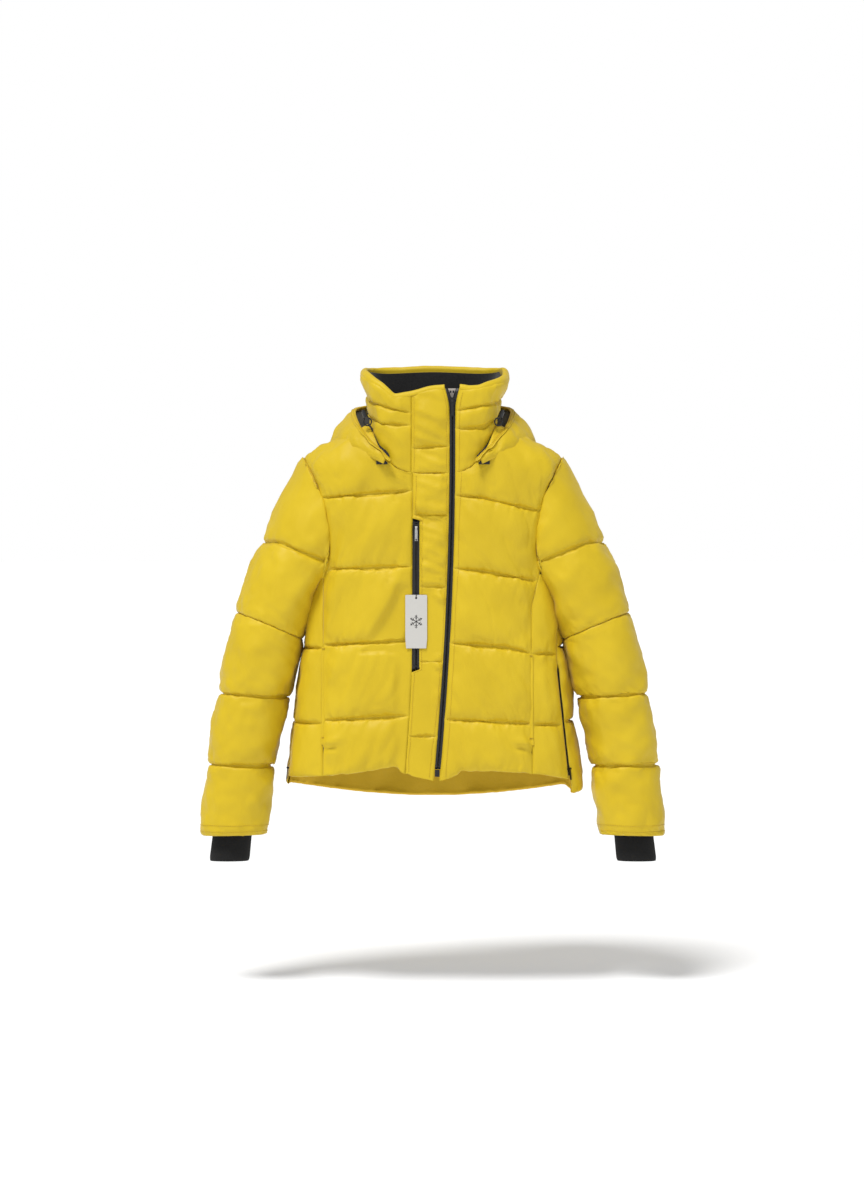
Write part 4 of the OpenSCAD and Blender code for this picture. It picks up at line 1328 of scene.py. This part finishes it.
def pocket(name, sheet_name, column, z_top, z_bottom, inwards):
    """A welt along the pocket's slanted opening, with a bar of stitches at each end."""
    path, normals = along(sheet_name, column)
    keep = (path[:, 2] < z_top) & (path[:, 2] > z_bottom)
    path, normals = path[keep], normals[keep]
    welt = [path + normals * h + np.array([inwards * x, 0, 0]) for x, h in
            ((-2.5, -2.0), (-2.2, 0.8), (-0.6, 2.0), (1.6, 2.3), (3.6, 1.6), (4.6, 0.0))]
    welt = np.array(welt) if inwards > 0 else np.array(welt[::-1])
    obj = grid_object(name, welt.swapaxes(0, 1), False, SHELL, thickness=1.0, levels=1)
    piece(obj, "root", "outer_fabric")
    sewn = stitches(path + np.array([inwards * 7.0, 0, 0]), 1.2, normals)
    for end in (2, -3):
        bar_in = path[end] + np.array([-inwards * 1.5, 0, 0])
        bar_out = path[end] + np.array([inwards * 6.5, 0, 0])
        tack = np.linspace(bar_in, bar_out, 8)
        for dz in (-0.8, 0, 0.8):
            sewn += stitches(tack + np.array([0, 0, dz]), 2.4, np.repeat(normals[end][None], 8, 0), 1.6, 2.0)
    piece(merged(name + "_stitches", sewn, THREAD), "root", "outer_fabric")


pocket("right_pocket_welt", "right_front", 0, -366, -526, 1)
pocket("left_pocket_welt", "left_front", -1, -377, -524, -1)


# ---- swing tag and its string
def card(lo, hi, hole, hole_r, corner):
    """A flat card with rounded corners and a round hole, as rings of points round the hole."""
    verts = []
    angles = np.linspace(0, 2 * np.pi, 96, endpoint=False)
    mid = (lo + hi) / 2
    half = (hi - lo) / 2
    for a in angles:
        d = np.array([math.cos(a), math.sin(a)])
        far, near = 200.0, 0.0
        for _ in range(30):
            r = (far + near) / 2
            q = np.abs(hole + d * r - mid[[0, 2]]) - (half[[0, 2]] - corner)
            inside = np.hypot(*np.maximum(q, 0)) + min(max(q), 0) < corner
            near, far = (r, far) if inside else (near, r)
        verts.append((d, near))
    loops = [(1.0, lo[1] + 0.15), (None, lo[1]), (0.0, lo[1]), (0.0, hi[1]), (None, hi[1]),
             (1.0, hi[1] - 0.15)]
    points = []
    for share_out, y in loops:
        for d, r in verts:
            at = r if share_out == 1.0 else hole_r if share_out == 0.0 else r - 0.2
            points.append((hole[0] + d[0] * at, y, hole[1] + d[1] * at))
    n, faces = len(verts), []
    for k in range(len(loops)):
        j = (k + 1) % len(loops)
        for i in range(n):
            m = (i + 1) % n
            faces.append((k * n + i, k * n + m, j * n + m, j * n + i))
    return points, faces


def bar(a, b, width, y):
    """A flat printed line between two points of the card."""
    a, b = np.array(a), np.array(b)
    d = (b - a) / np.linalg.norm(b - a)
    s = np.array([-d[1], d[0]]) * width / 2
    ends = [a - s, a + s, b + s, b - s]
    verts = [(q[0], y, q[1]) for q in ends] + [(q[0], y + 0.2, q[1]) for q in ends]
    return verts, [(0, 1, 2, 3), (7, 6, 5, 4), (0, 4, 5, 1), (1, 5, 6, 2), (2, 6, 7, 3), (3, 7, 4, 0)]


def snowflake(centre, size, y):
    parts = []
    for k in range(6):
        a = math.radians(30 + 60 * k)
        d = np.array([math.cos(a), math.sin(a)])
        parts.append(bar(centre, centre + d * size, 1.1, y))
        for f, l in ((0.45, 0.3), (0.72, 0.22)):
            for turn in (-1, 1):
                e = np.array([math.cos(a + turn * 0.95), math.sin(a + turn * 0.95)])
                parts.append(bar(centre + d * size * f, centre + d * size * f + e * size * l, 0.9, y))
    return parts


HOLE = np.array([CHEST_X, TAG_HI[2] - 5.0])
tag = merged("tag_card", [card(TAG_LO, TAG_HI, HOLE, 1.7, 1.2)], CARD)
tag.data.polygons.foreach_set("use_smooth", [False] * len(tag.data.polygons))
piece(tag, "swing_tag", "white_card", "swing_tag")
CARD_MID = np.array([CHEST_X, (TAG_LO[2] + TAG_HI[2]) / 2])
mark = merged("tag_mark", snowflake(CARD_MID, 11.0, TAG_LO[1] - 0.08), PRINT)
mark.data.polygons.foreach_set("use_smooth", [False] * len(mark.data.polygons))
piece(mark, "swing_tag", "white_card")

# ---------------------------------------------------------------- cords
def curve_object(name, points, diameter, material):
    """A cord as a curve of one open spline, from points in mm."""
    curve = bpy.data.curves.new(name, "CURVE")
    curve.dimensions = "3D"
    curve.bevel_depth = diameter * MM / 2
    curve.bevel_resolution = 3
    curve.use_fill_caps = True
    spline = curve.splines.new("POLY")
    spline.points.add(len(points) - 1)
    for k, q in enumerate(points):
        spline.points[k].co = (*(np.asarray(q) * MM), 1)
    curve.materials.append(material)
    obj = bpy.data.objects.new(name, curve)
    SCENE.collection.objects.link(obj)
    return obj


STRING_D = 0.9
STRING_LO, STRING_HI = corners("tag_string")
RING_R = 1.75                                 # the ring of string in the end of the zip's pull
ring_mid = np.array([CHEST_X, STRING_LO[1] + RING_R + STRING_D / 2, STRING_HI[2] - RING_R - STRING_D / 2])
turn = np.radians(np.linspace(0, 354, 30))
ring_path = ring_mid + RING_R * np.stack([0 * turn, np.cos(turn), np.sin(turn)], -1)
piece(merged("tag_ring", [tube(ring_path, STRING_D / 2, 8)], CORD), "tag_string", "black_cord")
drop = np.linspace(ring_mid[2] - RING_R, STRING_LO[2] + STRING_D / 2, 24)
string_path = np.stack([np.full(24, CHEST_X), np.full(24, ring_mid[1]), drop], -1)
tag_cord = curve_object("tag_cord", string_path, STRING_D, CORD)
piece(tag_cord, "tag_string", "black_cord", "tag_string")

LOOP_D = 2.4
LOOP_R = 6.2
LOOP_DROP = 8.0                               # from the lock's mouth down to the loop's centre
LOOP_LEAN = np.radians(20)                    # the cord locks lean outwards
for name, side in SIDES:
    lo, hi = corners(name + "_cord_lock_plunger")
    axis = np.array([side * np.sin(LOOP_LEAN), 0, np.cos(LOOP_LEAN)])
    sideways = np.array([np.cos(LOOP_LEAN), 0, -side * np.sin(LOOP_LEAN)])
    mouth = (lo + hi) / 2 - 9.5 * axis
    turn = np.radians(np.linspace(30, 330, 36))
    bow = [(LOOP_R * np.sin(v), LOOP_R * np.cos(v) - LOOP_DROP) for v in turn]
    bow = [(bow[0][0], 0.5)] + bow + [(bow[-1][0], 0.5)]
    loop_path = np.array([mouth + u * sideways + v * axis for u, v in bow])
    loop = curve_object(name + "_hood_cord", loop_path, LOOP_D, CORD)
    piece(loop, "root", "black_cord", *(("hood_cord_loops",) if side < 0 else ()))

# ---------------------------------------------------------------- CAD nodes that show
for node, mat in {"main_zip_end_fittings": HARDWARE, "main_zip_slider": HARDWARE, "main_zip_pull": HARDWARE,
                  "chest_zip_stops": HARDWARE, "chest_zip_slider": HARDWARE, "chest_zip_pull": SILVER,
                  "right_vent_slider": HARDWARE, "right_vent_pull": HARDWARE, "left_vent_slider": HARDWARE,
                  "left_vent_pull": HARDWARE, "vent_zip_tapes": TAPE, "hang_loop": CORD,
                  "hood_tabs": HARDWARE,
                  "cord_lock_barrels": HARDWARE, "right_cord_lock_plunger": HARDWARE,
                  "left_cord_lock_plunger": HARDWARE}.items():
    o = NODES[node]
    o.data.materials.clear()
    o.data.materials.append(mat)

# ---------------------------------------------------------------- studio
FLOOR_Z = -0.915
FLOOR_RISE = 0.075                            # the floor rises a little to the back under the jacket


def studio_floor():
    """A wide pale floor."""
    across = (-60, -1.5, 1.5, 60)
    along = (-60, -0.8, -0.4, 0, 0.4, 0.8, 60)
    verts = [(x, y, FLOOR_Z + FLOOR_RISE * max(-0.6, min(0.6, y))) for y in along for x in across]
    n = len(across)
    faces = [(j * n + i, j * n + i + 1, (j + 1) * n + i + 1, (j + 1) * n + i)
             for j in range(len(along) - 1) for i in range(n - 1)]
    mesh = bpy.data.meshes.new("floor")
    mesh.from_pydata(verts, [], faces)
    paper = make_plain("studio_paper", (0.8, 0.8, 0.8, 1), 0.9, grain=3, depth=0.0)
    glow = paper.node_tree.nodes["Principled BSDF"]
    glow.inputs["Emission Color"].default_value = (1, 1, 1, 1)
    glow.inputs["Emission Strength"].default_value = 0.22
    mesh.materials.append(paper)
    mesh.polygons.foreach_set("use_smooth", [True] * len(faces))
    obj = bpy.data.objects.new("floor", mesh)
    SCENE.collection.objects.link(obj)


def sun(name, towards, strength, softness):
    """A wide soft light: towards is the way from the jacket to it, softness its width in degrees."""
    data = bpy.data.lights.new(name, "SUN")
    data.energy = strength
    data.angle = math.radians(softness)
    obj = bpy.data.objects.new(name, data)
    obj.rotation_euler = Vector(towards).to_track_quat("Z", "Y").to_euler()
    SCENE.collection.objects.link(obj)


def white_room():
    """The room is white to the camera, and lights the jacket more softly than that."""
    world = bpy.data.worlds.new("studio")
    world.use_nodes = True
    tree = world.node_tree
    light = tree.nodes["Background"]
    light.inputs["Color"].default_value = (1, 1, 1, 1)
    light.inputs["Strength"].default_value = 0.38
    seen = tree.nodes.new("ShaderNodeBackground")
    seen.inputs["Color"].default_value = (1, 1, 1, 1)
    seen.inputs["Strength"].default_value = 1.0
    path = tree.nodes.new("ShaderNodeLightPath")
    blend = tree.nodes.new("ShaderNodeMixShader")
    tree.links.new(path.outputs["Is Camera Ray"], blend.inputs[0])
    tree.links.new(light.outputs[0], blend.inputs[1])
    tree.links.new(seen.outputs[0], blend.inputs[2])
    tree.links.new(blend.outputs[0], tree.nodes["World Output"].inputs["Surface"])
    SCENE.world = world


studio_floor()
white_room()
sun("key", (-0.4, -0.62, 1.3), 2.7, 18)
sun("fill", (0.7, -0.9, 0.4), 0.3, 60)
SCENE.view_settings.view_transform = "Standard"

cam_data = bpy.data.cameras.new("camera")
cam_data.lens = 200
SENSOR = 36
cam_data.sensor_width = cam_data.sensor_height = SENSOR
cam_data.sensor_fit = "AUTO"
cam_data.clip_end = 60
camera = bpy.data.objects.new("camera", cam_data)
PICTURE_H = 1184                              # rows in the picture
MM_PER_ROW = 1.62
FRAME_H = PICTURE_H * MM_PER_ROW * MM         # what the picture shows of the jacket's plane, top to bottom
AIM = Vector((-0.0016, 0.0, -0.2786))
distance = FRAME_H * cam_data.lens / SENSOR
tilt = math.radians(1.0)
camera.location = AIM + Vector((0, -math.cos(tilt), math.sin(tilt))) * distance
camera.rotation_euler = (math.radians(90) - tilt, 0, 0)
SCENE.collection.objects.link(camera)
SCENE.camera = camera
